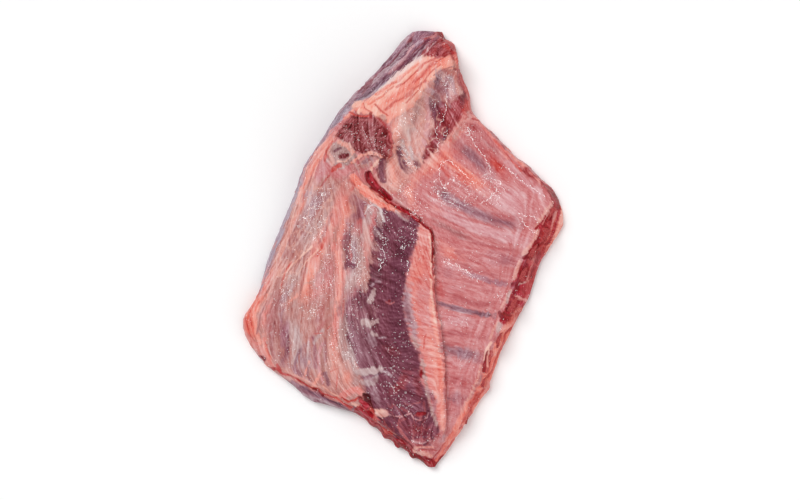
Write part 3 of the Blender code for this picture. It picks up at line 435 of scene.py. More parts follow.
flankStrokes = {
    "edge lavender": ("lavender", 7, 3, 0.9, 0, [(303, 176), (295, 196), (288, 212), (281, 230), (274, 248),
        (267, 266), (260, 284), (252, 300)]),
    "edge rim light": ("fat", 3, 2, 0.8, 0.3, [(308, 176), (301, 192), (299, 204)]),
    "pale streak": ("peach", 6, 3, 0.85, 0.3, [(314, 182), (303, 202), (293, 222), (285, 244), (277, 264)]),
    "orange streak": ("orange", 3, 2, 0.5, 0, [(305, 192), (302, 208), (294, 222)]),
    "brown line": ("brownRose", 1.4, 0.8, 0.8, -0.4, [(299, 222), (292, 234), (287, 246), (282, 258)]),
    "lilac streak": ("lilac", 4, 3, 0.8, 0, [(310, 188), (304, 200)]),
    "frost grey": ("lilac", 13, 7, 0.75, -0.2, [(326, 190), (313, 208), (303, 224)]),
    "frost brown": ("brownRose", 3, 2, 0.6, -0.2, [(334, 190), (322, 204), (310, 222), (302, 238)]),
    "grey middle": ("greyFat", 10, 6, 0.75, 0, [(324, 214), (312, 230), (298, 248)]),
    "brown middle": ("brownRose", 9, 6, 0.6, -0.2, [(306, 222), (298, 236), (290, 252), (284, 266)]),
    "salmon ridge": ("salmon", 13, 6, 0.9, 0.5, [(346, 188), (340, 206), (330, 226), (320, 246), (312, 264),
        (306, 284)]),
    "ridge orange": ("orange", 8, 5, 0.7, 0.2, [(347, 200), (346, 216), (342, 234), (338, 248)]),
    "ridge red": ("red", 3.5, 2.5, 0.6, -0.2, [(345, 230), (343, 242)]),
    "ridge grey": ("greyFat", 4, 3, 0.6, -0.2, [(334, 200), (326, 216), (318, 232)]),
    "red slash": ("crease", 2.4, 1.2, 0.85, -0.5, [(325, 238), (322, 246), (317, 256)]),
    "ridge shade": ("brownRose", 2, 1.5, 0.7, -0.3, [(332, 214), (326, 230), (318, 244)]),
    "first fold": ("cream", 2, 1, 0.85, 0.5, [(312, 247), (301, 256), (291, 266), (284, 274)]),
    "first fold shade": ("brownRose", 1.2, 0.8, 0.8, -0.5, [(310, 251), (300, 260), (291, 270)]),
    "second fold": ("cream", 1.8, 1, 0.8, 0.5, [(318, 250), (306, 262), (296, 276), (288, 290)]),
    "crease down": ("crease", 1.8, 1, 0.8, -0.5, [(291, 262), (285, 272), (281, 284), (280, 296)]),
    "cream triangle": ("fat", 9, 4, 0.9, 0.4, [(316, 262), (308, 280), (303, 300)]),
    "grey below fold": ("greyFat", 9, 5, 0.85, 0, [(302, 270), (292, 284), (284, 296)]),
    "rose between": ("pink", 11, 6, 0.8, 0.1, [(328, 256), (328, 276), (326, 296)]),
    "speckled": ("palePink", 8, 5, 0.7, 0, [(320, 268), (318, 286), (312, 302)]),
    "long ridge": ("salmon", 7, 3.5, 0.95, 0.6, [(332, 240), (338, 256), (341, 276), (339, 298), (335, 322),
        (334, 350), (335, 380)]),
    "long ridge light": ("fat", 3, 2, 0.7, 0.3, [(337, 252), (341, 270), (340, 292), (336, 312)]),
    "left salmon": ("salmon", 7, 4, 0.85, 0.3, [(276, 266), (268, 282), (260, 298)]),
    "left peach": ("peach", 5, 3, 0.8, 0.3, [(284, 262), (276, 278), (268, 294), (264, 310)]),
    "brown field": ("brownRose", 13, 8, 0.75, -0.2, [(281, 286), (276, 304), (274, 324), (276, 344)]),
    "field light": ("peach", 3, 2, 0.4, 0.2, [(272, 300), (266, 318), (264, 334)]),
    "field rose": ("rose", 8, 5, 0.45, 0, [(271, 300), (267, 320), (268, 340)]),
    "field line": ("maroon", 1.2, 0.8, 0.6, -0.4, [(274, 322), (270, 336), (271, 356)]),
    "short fold": ("mauve", 2.4, 1.5, 0.85, -0.5, [(289, 302), (284, 308), (281, 315), (281, 322)]),
    "over fold": ("fat", 4, 2.5, 0.8, 0.3, [(300, 292), (290, 302), (284, 306)]),
    "pale grey": ("greyFat", 11, 5, 0.9, 0.1, [(294, 308), (291, 324), (296, 344)]),
    "pale grey right": ("beige", 10, 6, 0.8, 0.1, [(306, 306), (304, 326), (304, 346)]),
    "mauve gully": ("mauve", 10, 4, 0.95, -0.4, [(285, 318), (284, 334), (286, 350), (285, 364)]),
    "mauve gully core": ("plum", 4, 2.5, 0.7, -0.3, [(287, 334), (289, 346), (286, 356)]),
    "gully end": ("greyMauve", 7, 3, 0.8, -0.2, [(281, 356), (283, 366)]),
    "brown fans": ("brownRose", 4, 2.5, 0.8, -0.2, [(272, 330), (270, 346), (274, 362)]),
    "orange field": ("orange", 12, 8, 0.45, 0.1, [(322, 284), (312, 292), (304, 300)]),
    "pale strip": ("paleGrey", 7, 3, 0.85, 0.2, [(296, 322), (297, 336), (298, 350), (292, 366)]),
    "beige strip": ("beige", 9, 4, 0.8, 0.2, [(287, 306), (291, 316), (295, 322)]),
    "lilac fan": ("lilac", 6, 4, 0.6, 0, [(292, 288), (284, 298), (280, 306)]),
    "rose fan": ("rose", 5, 3, 0.5, -0.1, [(330, 318), (322, 326), (314, 334), (308, 344)]),
    "dark fan": ("mauve", 5, 3, 0.6, -0.2, [(322, 318), (314, 322)]),
    "gully line": ("plum", 1.4, 0.8, 0.6, -0.4, [(287, 332), (288, 340), (285, 346)]),
    "dark fold": ("greyMauve", 3, 1.5, 0.85, -0.5, [(300, 350), (297, 357), (294, 366)]),
    "lilac panel": ("lilac", 14, 4, 0.9, 0.2, [(307, 350), (305, 360), (302, 372)]),
    "panel grey": ("paleGrey", 4, 3, 0.6, 0, [(310, 348), (306, 360)]),
    "mauve stripe": ("mauve", 4, 2, 0.8, -0.3, [(313, 338), (315, 352), (316, 368)]),
    "icy corner": ("paleGrey", 4, 2, 0.8, 0, [(323, 331), (318, 336), (314, 343)]),
    "pale rib": ("palePink", 3, 1.2, 0.95, 0.5, [(322, 344), (318, 356), (319, 370), (323, 384)]),
    "mauve right": ("mauve", 3.5, 2.5, 0.7, -0.2, [(325, 338), (326, 352), (325, 364)]),
    "rose patch": ("rose", 9, 5, 0.5, 0, [(324, 302), (320, 314), (318, 324)]),
    "rose streak": ("crease", 1.3, 0.8, 0.7, -0.3, [(330, 326), (324, 333), (315, 334)]),
    "muscle start": ("plum", 5, 2.5, 0.8, -0.3, [(339, 304), (340, 312)]),
    "base fold": ("fat", 2.5, 1.5, 0.7, 0.3, [(309, 362), (306, 371), (303, 379)]),
    "base fold two": ("fat", 3.5, 2, 0.8, 0.4, [(321, 374), (316, 381), (312, 388)]),
    "base fold shade": ("mauve", 2, 1, 0.8, -0.4, [(308, 366), (307, 376), (311, 384)]),
    "base mauve": ("mauve", 5, 3, 0.8, -0.3, [(290, 366), (296, 372), (302, 378)]),
    "base slate": ("greyMauve", 5, 2, 0.85, -0.3, [(324, 374), (328, 384)]),
    "base peach": ("fat", 10, 6, 0.8, 0.3, [(346, 366), (347, 378), (346, 388)]),
    "base salmon": ("peach", 12, 6, 0.85, 0.2, [(333, 340), (334, 362), (337, 384)]),
    "base red line": ("crease", 1.2, 0.8, 0.7, -0.3, [(337.5, 373), (337, 382), (335.5, 390)]),
    "base red arc": ("crease", 1.1, 0.8, 0.6, -0.3, [(330, 372), (335, 370), (340, 367)]),
    "base light": ("cream", 2, 1, 0.7, 0.3, [(322, 386), (332, 394), (344, 399)]),
}
cornerStrokes = {
    "corner": ("orange", 11, 3, 1.0, 0.4, [(262, 292), (254, 304), (249, 316), (250, 330), (255, 342)]),
    "corner light": ("fat", 3, 1.5, 0.9, 0.5, [(266, 294), (257, 308), (253, 320), (255, 334), (259, 344)]),
    "corner rim": ("salmon", 3, 1.5, 0.85, 0.2, [(250, 308), (244, 319), (244, 330), (249, 342)]),
    "corner crease": ("crease", 1.6, 0.8, 0.9, -0.6, [(246, 320), (248, 330), (250, 338)]),
    "corner crease two": ("crease", 1.4, 0.8, 0.8, -0.5, [(252, 306), (249, 316), (251, 326)]),
    "corner line": ("brownRose", 1.6, 1, 0.8, -0.5, [(267, 301), (263, 309), (260, 316), (259, 324),
        (256, 334)]),
    "beside line": ("salmon", 5, 2.5, 0.9, 0.4, [(270, 300), (265, 314), (262, 328)]),
    "lower orange": ("orange", 5, 3, 0.8, 0.3, [(264, 336), (266, 350), (270, 364)]),
    "lower light": ("greyFat", 3, 2, 0.7, 0.2, [(266, 342), (269, 354)]),
    "lower crease": ("crease", 1.2, 0.8, 0.8, -0.4, [(263, 338), (267, 352), (271, 364)]),
    "lower fat": ("salmon", 5, 2, 0.85, 0.3, [(254, 344), (262, 354), (272, 366)]),
    "lip dark": ("maroon", 4, 1.5, 0.95, -0.6, [(261, 358), (264, 361), (265, 366)]),
    "lip knot": ("red", 3.5, 1.5, 0.9, -0.4, [(277, 366), (280, 371)]),
    "lip knot two": ("darkRed", 3, 1.2, 0.9, -0.4, [(313, 389), (318, 391), (323, 396)]),
    "lip knot three": ("darkRed", 2.5, 1.2, 0.8, -0.4, [(298, 381), (303, 384)]),
    "lip line": ("red", 2.4, 1, 0.95, -0.2, [(264, 363), (269, 368), (276, 369), (281, 374), (290, 376)]),
    "lip line on": ("red", 1.8, 0.9, 0.95, -0.2, [(290, 376), (300, 382), (310, 388), (317, 389),
        (322, 394), (334, 398)]),
    "lip light": ("peach", 2, 1, 0.8, 0.4, [(284, 372), (296, 377), (308, 383), (320, 388)]),
    "strip light": ("lilac", 1.4, 0.8, 0.8, 0.2, [(296, 390), (312, 398), (330, 404), (346, 410)]),
    "strip dark": ("slate", 2, 1, 0.8, -0.2, [(300, 387), (314, 395), (326, 400), (342, 405)]),
    "strip red": ("lean", 2.4, 1, 0.8, 0, [(282, 381), (298, 394), (314, 403), (330, 410)]),
}
tornStrokes = {
    "ragged fat": ("salmon", 7, 2, 0.95, 0.6, [(342, 396), (350, 391), (358, 390), (362, 394)]),
    "ragged fat light": ("cream", 3, 1.5, 0.7, 0.6, [(352, 404), (358, 406)]),
    "ragged red": ("brightRed", 2.2, 1, 0.95, -0.5, [(342, 398), (348, 402), (354, 400), (359, 397)]),
    "ragged red low": ("crease", 2.4, 1.2, 0.8, -0.4, [(336, 398), (344, 404), (352, 408)]),
    "cavity": ("shade", 7, 2, 1.0, -2.4, [(366, 396), (369, 404), (371, 414)]),
    "cavity left": ("darkRed", 5, 2, 0.9, -1.0, [(360, 398), (364, 406)]),
    "cavity flesh": ("raw", 4, 1.5, 0.9, 0.3, [(361, 401), (366, 407)]),
    "under cavity": ("raw", 4, 1.5, 0.9, 0.2, [(358, 408), (366, 414), (372, 420)]),
    "red lip": ("brightRed", 5, 1.5, 0.95, 0.4, [(370, 411), (376, 419), (384, 427), (392, 433)]),
    "dark lip": ("darkRed", 4, 2, 0.8, -0.8, [(376, 424), (386, 433), (396, 441)]),
    "dark lip on": ("darkRed", 5, 2, 0.9, -0.8, [(400, 448), (410, 455), (420, 460)]),
    "outer lip": ("maroon", 3, 2, 0.7, 0.3, [(374, 428), (384, 437), (394, 446), (404, 453)]),
    "rag": ("lean", 2.5, 1, 0.9, 0.5, [(376, 426), (384, 433), (390, 440)]),
    "second rag": ("rose", 1.6, 0.8, 0.8, 0.5, [(397, 437), (404, 441), (410, 449)]),
    "third rag": ("lean", 3, 1.5, 0.8, 0.3, [(404, 452), (412, 456), (420, 461)]),
    "pale rag": ("palePink", 2, 1, 0.7, 0.5, [(412, 441), (422, 443), (432, 440)]),
    "thread lip": ("salmon", 1.4, 0.8, 0.7, 0.5, [(382, 418), (388, 427), (396, 435)]),
    "dark hollow": ("darkRed", 7, 2.5, 0.95, -1.0, [(402, 443), (409, 448), (413, 453)]),
    "flap of lean": ("lean", 3, 1.5, 0.8, 0.3, [(404, 438), (412, 444), (422, 446)]),
    "cream flap": ("peach", 5, 1.5, 0.9, 0.7, [(415, 451), (424, 454), (431, 457)]),
    "cream flap light": ("fat", 1.8, 1, 0.8, 0.5, [(415, 447.5), (424, 447), (433, 448)]),
    "red in flap": ("red", 1.5, 0.8, 0.95, -0.3, [(417, 450), (427, 450.5), (437, 451)]),
    "pale end": ("rose", 4, 2, 0.8, 0.4, [(428, 444), (434, 440), (439, 434)]),
    "dark tip": ("darkRed", 3.5, 1.5, 0.9, -0.5, [(416, 456), (424, 460), (431, 462)]),
    "red tip": ("lean", 3, 1.5, 0.9, 0, [(420, 461), (428, 466), (434, 467)]),
    "tip fat": ("orange", 4, 1.5, 0.85, 0.3, [(436, 462), (444, 450), (452, 438)]),
    "tip red": ("red", 1.8, 0.8, 0.9, -0.3, [(433, 460), (441, 450), (450, 436), (458, 424)]),
    "tip red two": ("red", 1.6, 0.8, 0.9, -0.3, [(438, 463), (447, 451), (455, 439), (464, 424)]),
}
ribStrokes = {
    "first lean": ("lean", 6, 3, 0.8, 0, [(463, 126), (472, 127), (480, 132)]),
    "first rib rose": ("rose", 7, 5, 0.7, 0, [(472, 134), (482, 148), (490, 160)]),
    "first rib grey": ("brownRose", 6, 4, 0.6, 0, [(484, 138), (492, 148), (498, 156)]),
    "red patch": ("brightRed", 9, 6, 1.0, 0, [(488, 154), (497, 165), (506, 176)]),
    "red patch trail": ("rose", 5, 4, 0.7, 0, [(480, 150), (488, 156)]),
    "margin light": ("salmon", 4, 2, 0.9, 0.3, [(474, 116), (486, 130), (498, 145), (508, 158)]),
    "margin dark": ("lean", 3, 1.2, 0.95, 0.1, [(488, 128), (498, 138), (508, 150), (514, 156)]),
    "margin crease": ("crease", 2, 1, 0.9, -0.3, [(494, 140), (504, 151), (514, 163), (522, 171)]),
    "margin fat": ("orange", 3, 1.5, 0.8, 0.3, [(508, 150), (516, 159), (526, 169)]),
    "margin pale": ("palePink", 6, 3, 0.9, 0.1, [(508, 164), (518, 175), (532, 186), (546, 197)]),
    "margin lean": ("lean", 7, 2, 0.9, 0, [(526, 171), (538, 179), (548, 187), (556, 198)]),
    "margin marbling": ("salmon", 2, 1.2, 0.8, 0.2, [(530, 172), (540, 182), (552, 192)]),
    # Painted light on the shaded corner: saturated raw where the steep side gets little light.
    "corner wine": ("raw", 15, 2, 0.95, 0, [(546, 175), (554, 183), (561, 191), (566, 203)]),
    "shoulder nick": ("red", 1.8, 0.8, 0.9, -0.3, [(472, 119), (476, 120)]),
    "first groove": ("greyMauve", 9, 9, 0.9, 0, [(458, 145), (468, 153), (480, 163), (490, 174)]),
    "second rib orange": ("orange", 10, 8, 0.9, 0, [(444, 158), (458, 168), (474, 180), (486, 190)]),
    "second rib red": ("crease", 3, 2, 0.7, 0, [(440, 166), (449, 176)]),
    "second rib streak": ("crease", 5, 3, 0.8, 0, [(454, 172), (464, 180), (472, 187)]),
    "second rib low": ("red", 4, 3, 0.5, 0, [(438, 176), (448, 184)]),
    "third rib pink": ("palePink", 13, 6, 0.75, 0, [(486, 196), (506, 204), (530, 214)]),
    "third rib pale": ("palePink", 10, 6, 0.8, 0, [(500, 188), (514, 195), (526, 201)]),
    "second groove": ("greyMauve", 9, 9, 0.95, 0, [(448, 198), (464, 207), (482, 216), (500, 222),
        (520, 226)]),
    "second groove dark": ("slate", 8, 7, 0.85, 0, [(437, 189), (445, 196), (454, 203)]),
    "second groove rose": ("rose", 5, 3, 0.7, 0, [(496, 214), (508, 218), (517, 220)]),
    "third groove": ("brownRose", 6, 4, 0.85, 0, [(434, 222), (446, 228), (458, 234), (470, 240)]),
    "third groove red": ("rose", 4, 2.5, 0.9, 0, [(470, 241), (484, 245), (498, 249), (516, 251)]),
    "fourth rib pale": ("palePink", 11, 5, 0.95, 0, [(436, 206), (452, 217), (474, 228), (500, 236),
        (524, 242)]),
    "fourth rib high": ("salmon", 5, 4, 0.6, 0, [(430, 206), (444, 212)]),
    "fifth rib mauve": ("mauve", 12, 8, 0.7, 0, [(494, 257), (506, 260), (518, 261)]),
    "fifth rib orange": ("orange", 10, 7, 0.6, 0, [(438, 244), (448, 252), (460, 260)]),
    "fifth rib spot": ("rose", 3, 2, 0.7, 0, [(456, 252), (459, 254)]),
    "chevrons": ("palePink", 6, 4, 0.6, 0, [(482, 260), (492, 264)]),
    "fourth groove red": ("rose", 3.5, 2.5, 0.8, 0, [(456, 262), (470, 269), (484, 273), (498, 277)]),
    "fourth groove": ("mauve", 5, 3, 0.9, 0, [(464, 272), (478, 277), (494, 282), (510, 285)]),
    "fourth groove light": ("palePink", 3, 2, 0.5, 0, [(444, 262), (456, 268), (468, 275)]),
    "sixth rib mauve": ("mauve", 8, 6, 0.4, 0, [(440, 270), (456, 276)]),
    "sixth rib rose": ("rose", 6, 4, 0.6, 0, [(466, 281), (474, 284)]),
    "sixth rib rose two": ("rose", 5, 4, 0.6, 0, [(484, 290), (492, 293)]),
    "sixth rib pale": ("palePink", 6, 4, 0.6, 0, [(450, 288), (462, 290)]),
    "sixth rib stain": ("brightRed", 7, 6, 0.75, 0, [(436, 282), (440, 294)]),
    "sixth rib low": ("rose", 5, 3, 0.85, 0, [(450, 295), (464, 300), (478, 305), (494, 304)]),
    "fifth groove": ("slate", 4.5, 2.5, 0.85, 0, [(436, 303), (448, 306), (462, 310), (476, 313),
        (494, 316)]),
    "seventh rib pale": ("palePink", 10, 5, 0.8, 0, [(442, 318), (456, 321), (474, 324)]),
    "seventh rib rose": ("rose", 5, 4, 0.5, 0, [(468, 318), (474, 323)]),
    "seventh rib red": ("rose", 5, 3, 0.95, 0, [(440, 334), (455, 333), (470, 335)]),
    "seventh rib red on": ("rose", 4, 3, 0.6, 0, [(470, 336), (482, 338), (492, 338)]),
    "sixth groove": ("greyMauve", 10, 8, 0.95, 0, [(446, 349), (458, 352), (470, 355), (482, 358)]),
    "sixth groove dark": ("slate", 7, 6, 0.8, 0, [(442, 347), (450, 350), (456, 352)]),
    "eighth rib pale": ("palePink", 5, 4, 0.35, 0, [(448, 362), (464, 366), (476, 368)]),
    "eighth rib red": ("rose", 10, 5, 0.95, 0, [(446, 380), (458, 381), (470, 385)]),
    "eighth rib deep": ("red", 4, 3, 0.6, 0, [(462, 383), (470, 385)]),
    "seventh groove": ("mauve", 10, 8, 0.95, 0, [(447, 397), (456, 399), (466, 402)]),
    "seventh groove dark": ("slate", 4, 2.5, 0.8, 0, [(446, 398), (452, 400)]),
    "last rib pink": ("rose", 12, 6, 0.7, 0, [(448, 406), (456, 410), (462, 402)]),
    "last rib lilac": ("lilac", 7, 4, 0.8, 0, [(441, 440), (446, 438)]),
}
sawnStrokes = {
    "first end": ("peach", 3.2, 2, 0.85, 0.4, [(552, 201), (547, 210), (541, 219)]),
    "first end low": ("peach", 3, 1.5, 0.8, 0.3, [(541, 220), (536, 226)]),
    "second end": ("peach", 3.2, 2, 0.85, 0.4, [(537, 230), (535, 238), (530, 246), (524, 254)]),
    "third end": ("peach", 2.8, 2, 0.85, 0.4, [(520, 262), (517, 270), (514, 278)]),
    "fourth end": ("peach", 2.4, 1.5, 0.8, 0.4, [(510, 290), (506, 299), (502, 307)]),
    "fifth end": ("peach", 2.4, 1.5, 0.8, 0.4, [(497, 323), (493, 331), (490, 339)]),
    "sixth end": ("cream", 2.5, 1.2, 0.85, 0.4, [(491, 343), (486, 351), (484, 360)]),
    "seventh end": ("peach", 4, 2, 0.85, 0.4, [(482, 366), (478, 378), (473, 390), (469, 400)]),
    "last end": ("peach", 4, 2, 0.8, 0.4, [(466, 404), (461, 418), (454, 434)]),
    "first notch": ("raw", 3, 1.5, 0.9, -0.5, [(536, 228), (541, 224), (546, 220)]),
    "second notch": ("darkRed", 3, 1.5, 0.9, -0.5, [(524, 258), (529, 255)]),
    "third notch": ("darkRed", 3, 1.5, 0.9, -0.5, [(512, 285), (516, 284)]),
    "fourth notch": ("darkRed", 4, 1.5, 0.9, -0.5, [(500, 313), (503, 318)]),
    "inner shadow": ("blood", 3.5, 2, 0.8, -0.7, [(551, 210), (544, 228), (537, 244), (530, 258)]),
    "inner shadow low": ("darkRed", 4, 2, 0.9, -0.8, [(529, 260), (524, 270), (519, 284), (513, 298),
        (508, 310)]),
    "lean streak": ("salmon", 2.4, 0.8, 0.85, 0.3, [(556, 210), (552, 228), (545, 242)]),
    "lean streak two": ("salmon", 1.4, 0.8, 0.7, 0.3, [(552, 206), (547, 216), (543, 224)]),
    "bone wall": ("peach", 1.5, 0.8, 0.6, 0.3, [(545, 244), (540, 248), (532, 252)]),
    "bone wall low": ("peach", 1.4, 0.8, 0.5, 0.3, [(534, 276), (528, 281), (520, 284)]),
    "lean streak low": ("salmon", 1.5, 0.8, 0.7, 0.3, [(536, 250), (532, 264), (527, 280)]),
    "lean cross": ("salmon", 1.2, 0.8, 0.6, 0.2, [(531, 258), (537, 260), (543, 258)]),
    "lean face": ("red", 7, 3, 0.85, 0, [(549, 226), (543, 246), (537, 264), (533, 278), (529, 293)]),
    "lean face dark": ("darkRed", 3, 2, 0.7, -0.3, [(541, 250), (536, 262), (532, 276)]),
    "outer fat": ("orange", 8, 2, 0.95, 0.4, [(564, 208), (563, 222), (558, 237), (550, 250)]),
    "outer fat light": ("fat", 3.5, 1, 0.9, 0.3, [(562, 210), (561, 224), (555, 237)]),
    "outer crease": ("crease", 1.5, 0.8, 0.9, -0.4, [(557, 212), (555, 224), (549, 238), (543, 250)]),
    "cross fat": ("salmon", 3, 1.2, 0.9, 0.4, [(517, 297), (522, 299), (528, 301)]),
    "cross lean": ("raw", 8, 2, 0.9, 0, [(522, 304), (515, 312), (508, 320)]),
    "bone face": ("greyFat", 2.6, 1.2, 0.85, 0.2, [(509, 291), (507.5, 298), (507, 302)]),
    "second bone face": ("greyFat", 2.6, 1.2, 0.8, 0.2, [(499, 324), (497.5, 331)]),
    "third bone face": ("greyFat", 2.6, 1.2, 0.8, 0.2, [(481, 376), (479.5, 386)]),
    "low fat": ("orange", 16, 3, 0.95, 0.3, [(520, 316), (511, 331), (502, 348), (496, 364), (488, 381),
        (479, 400), (469, 417), (459, 434), (448, 450)]),
    "low fat light": ("orange", 7, 2.5, 0.8, 0.3, [(506, 332), (499, 348), (495, 364), (485, 382),
        (475, 402)]),
    "low fat red": ("brightRed", 2.4, 0.8, 0.95, -0.5, [(510, 328), (503, 340), (499, 355), (494, 366),
        (488, 378)]),
    "low fat rim": ("fat", 7, 2, 0.95, 0.2, [(522, 322), (513, 338), (506, 354), (501, 368), (493, 382)]),
    "red slot": ("blood", 4, 1.2, 0.95, -0.6, [(488, 353), (486, 362), (484, 371)]),
    "red slot right": ("red", 3, 1.2, 0.9, -0.2, [(491, 352), (490, 362), (487, 372)]),
    "slot thread": ("fat", 1.2, 0.8, 0.8, 0.3, [(489, 350), (487.6, 360), (487.4, 367)]),
    "tail red": ("brightRed", 2.4, 1, 0.9, -0.4, [(486, 384), (477, 400), (469, 413), (461, 427),
        (452, 442)]),
    "tail light": ("fat", 3, 1.5, 0.85, 0.3, [(487, 392), (478, 410), (468, 426), (457, 442)]),
    "tail lean": ("brightRed", 6, 2, 0.85, 0, [(478, 394), (472, 406), (465, 420)]),
    "knob": ("salmon", 6, 2, 0.8, 0.4, [(487, 384), (486, 392)]),
}
allStrokes = [neckStrokes, bandStrokes, valleyStrokes, crusStrokes, muscleStrokes, fringeStrokes,
              flankStrokes, cornerStrokes, tornStrokes, ribStrokes, sawnStrokes, pocketStrokes]

# Fine parallel lines: tissue, spacing, strength, True where they run across the fibres, outline.
combs = {
    "fringe": ("crease", 2.4, 0.65, False, [(418, 236), (431, 234), (433, 262), (433, 284), (414, 284),
        (412, 258)]),
    "fringe low": ("crease", 2.6, 0.35, False, [(412, 284), (433, 284), (436, 330), (420, 330),
        (410, 305)]),
    "fringe ticks": ("crease", 2.8, 0.45, False, [(436, 350), (443, 350), (444, 388), (438, 388)]),
    "muscle lines": ("mauve", 3.4, 0.22, True, [(384, 214), (414, 222), (404, 290), (412, 350), (418, 390),
        (390, 390), (376, 330), (374, 290)]),
    "muscle left lines": ("greyFat", 2.8, 0.3, False, [(340, 300), (376, 300), (380, 330), (345, 335)]),
    "groove lines": ("slate", 2.4, 0.25, True, [(452, 344), (482, 350), (480, 366), (452, 360)]),
    "chevron lines": ("palePink", 3.0, 0.4, True, [(480, 250), (500, 252), (502, 270), (482, 268)]),
}

# Wavy threads of other tissue: tissue, size, strength, outline.
veins = {
    "rough muscle": ("brownRose", 3.0, 0.85, [(338, 126), (354, 118), (376, 120), (386, 132), (391, 150),
        (384, 160), (356, 153), (344, 142)]),
    "sawn face": ("red", 4.0, 0.6, [(552, 206), (561, 202), (560, 224), (545, 262), (533, 300), (508, 324),
        (500, 316), (516, 284), (533, 250)]),
    "neck meat": ("rose", 3.0, 0.8, [(428, 40), (446, 36), (456, 52), (448, 60), (424, 57)]),
    "muscle end": ("rose", 5.0, 0.5, [(384, 404), (424, 400), (436, 436), (420, 446), (396, 440)]),
    "upper flank": ("cream", 5.0, 0.35, [(340, 180), (300, 190), (262, 290), (300, 300), (334, 250)]),
    "lower flank": ("greyFat", 5.0, 0.4, [(262, 290), (330, 260), (334, 340), (330, 384), (270, 360)]),
    "torn edge": ("rose", 4.0, 0.5, [(352, 398), (372, 404), (404, 436), (440, 452), (430, 470),
        (362, 420)]),
    "valley": ("cream", 4.5, 0.35, [(430, 84), (400, 116), (394, 190), (430, 170), (452, 140), (436, 110)]),
    "wall": ("slate", 4.5, 0.5, [(414, 30), (430, 36), (392, 80), (340, 118), (306, 176), (330, 116)]),
}

# Where frost and glints lie thick: reach, strength, line.
frostBeds = {
    "lobes": (5, 1.0, [(412, 115), (402, 122)]),
    "crescents": (5, 1.0, [(401, 143), (408, 158), (413, 166)]),
    "sternum": (4, 0.7, [(398, 124), (396, 134)]),
    "cartilage": (10, 0.8, [(404, 192), (416, 200), (418, 212)]),
    "second groove": (9, 1.0, [(438, 188), (446, 198), (454, 202)]),
    "second rib": (8, 0.7, [(455, 182), (468, 190), (478, 194)]),
    "rib corner": (7, 1.0, [(488, 180), (498, 186), (494, 202)]),
    "rib dot": (5, 0.7, [(466, 204), (470, 208)]),
    "first rib": (6, 0.8, [(468, 128), (474, 138)]),
    "pale lobe": (6, 0.7, [(446, 80), (448, 96)]),
    "plum lobe": (5, 0.6, [(434, 100), (434, 112)]),
    "muscle U": (7, 0.6, [(368, 206), (378, 208), (384, 226)]),
    "long mottle": (9, 0.8, [(352, 232), (354, 258), (362, 284)]),
    "muscle knot": (8, 0.6, [(380, 232), (386, 240), (382, 258)]),
    "upper muscle": (6, 0.45, [(402, 232), (404, 252)]),
    "muscle corner": (5, 0.5, [(412, 222), (414, 234), (410, 244)]),
    "muscle left": (10, 0.6, [(350, 328), (352, 348), (350, 362)]),
    "lower muscle": (12, 0.45, [(390, 372), (392, 392), (404, 406)]),
    "muscle end": (8, 0.4, [(420, 432), (432, 438)]),
    "heart": (10, 0.4, [(400, 340), (392, 360)]),
    "flank": (8, 0.9, [(322, 194), (312, 212), (306, 224)]),
    "flank middle": (6, 0.8, [(322, 218), (314, 236)]),
    "speckled flank": (12, 0.6, [(330, 262), (322, 288), (312, 308)]),
    "ridge": (8, 0.4, [(336, 330), (334, 360)]),
    "left flank": (9, 0.6, [(290, 280), (282, 300)]),
    "rib line": (6, 0.6, [(444, 260), (460, 270), (478, 278)]),
    "seventh rib": (7, 0.4, [(444, 318), (462, 322)]),
    "bone end": (5, 0.5, [(504, 292), (498, 298)]),
    "muscle top left": (6, 0.5, [(352, 286), (358, 304), (350, 316)]),
    "rough muscle": (10, 0.3, [(350, 130), (372, 140), (382, 150)]),
}

# Thin crooked threads of frost, partly painted glints along wet folds.
frostThreads = {
    "valley": [(446, 96), (446, 108), (444, 118), (440, 124), (435, 130)],
    "valley low": [(435, 130), (438, 140), (438, 148), (436, 153)],
    "first rib": [(467, 128), (471, 138), (476, 146), (483, 155), (489, 165), (491, 175)],
    "second rib": [(448, 160), (456, 166), (464, 174), (474, 184)],
    "second rib back": [(448, 160), (441, 163), (439, 170), (440, 182), (444, 188), (449, 182)],
    "third rib": [(506, 167), (512, 172), (520, 180), (534, 189), (546, 197)],
    "third rib low": [(518, 213), (526, 216), (532, 216), (537, 220)],
    "notch": [(520, 217), (526, 226), (536, 234)],
    "corner": [(480, 204), (490, 198), (497, 190), (497, 184)],
    "fifth rib": [(444, 261), (456, 266), (464, 270), (474, 276)],
    "muscle": [(380, 248), (384, 252), (385, 258), (381, 265), (379, 272)],
    "muscle right": [(407, 260), (408, 268), (407, 276)],
    "small ring": [(444, 132), (447, 133), (446, 136), (443, 134)],
}


# Turns frame positions into photograph pixels.
def toPixels(points):
    middleX, middleY = photo["middle"]
    return points[:, 0] / photo["pixel"] + middleX, middleY - points[:, 1] / photo["pixel"]


# Turns one photograph pixel into X and Y in the frame.
def toFrame(pixelX, pixelY):
    middleX, middleY = photo["middle"]
    return (pixelX - middleX) * photo["pixel"], (middleY - pixelY) * photo["pixel"]


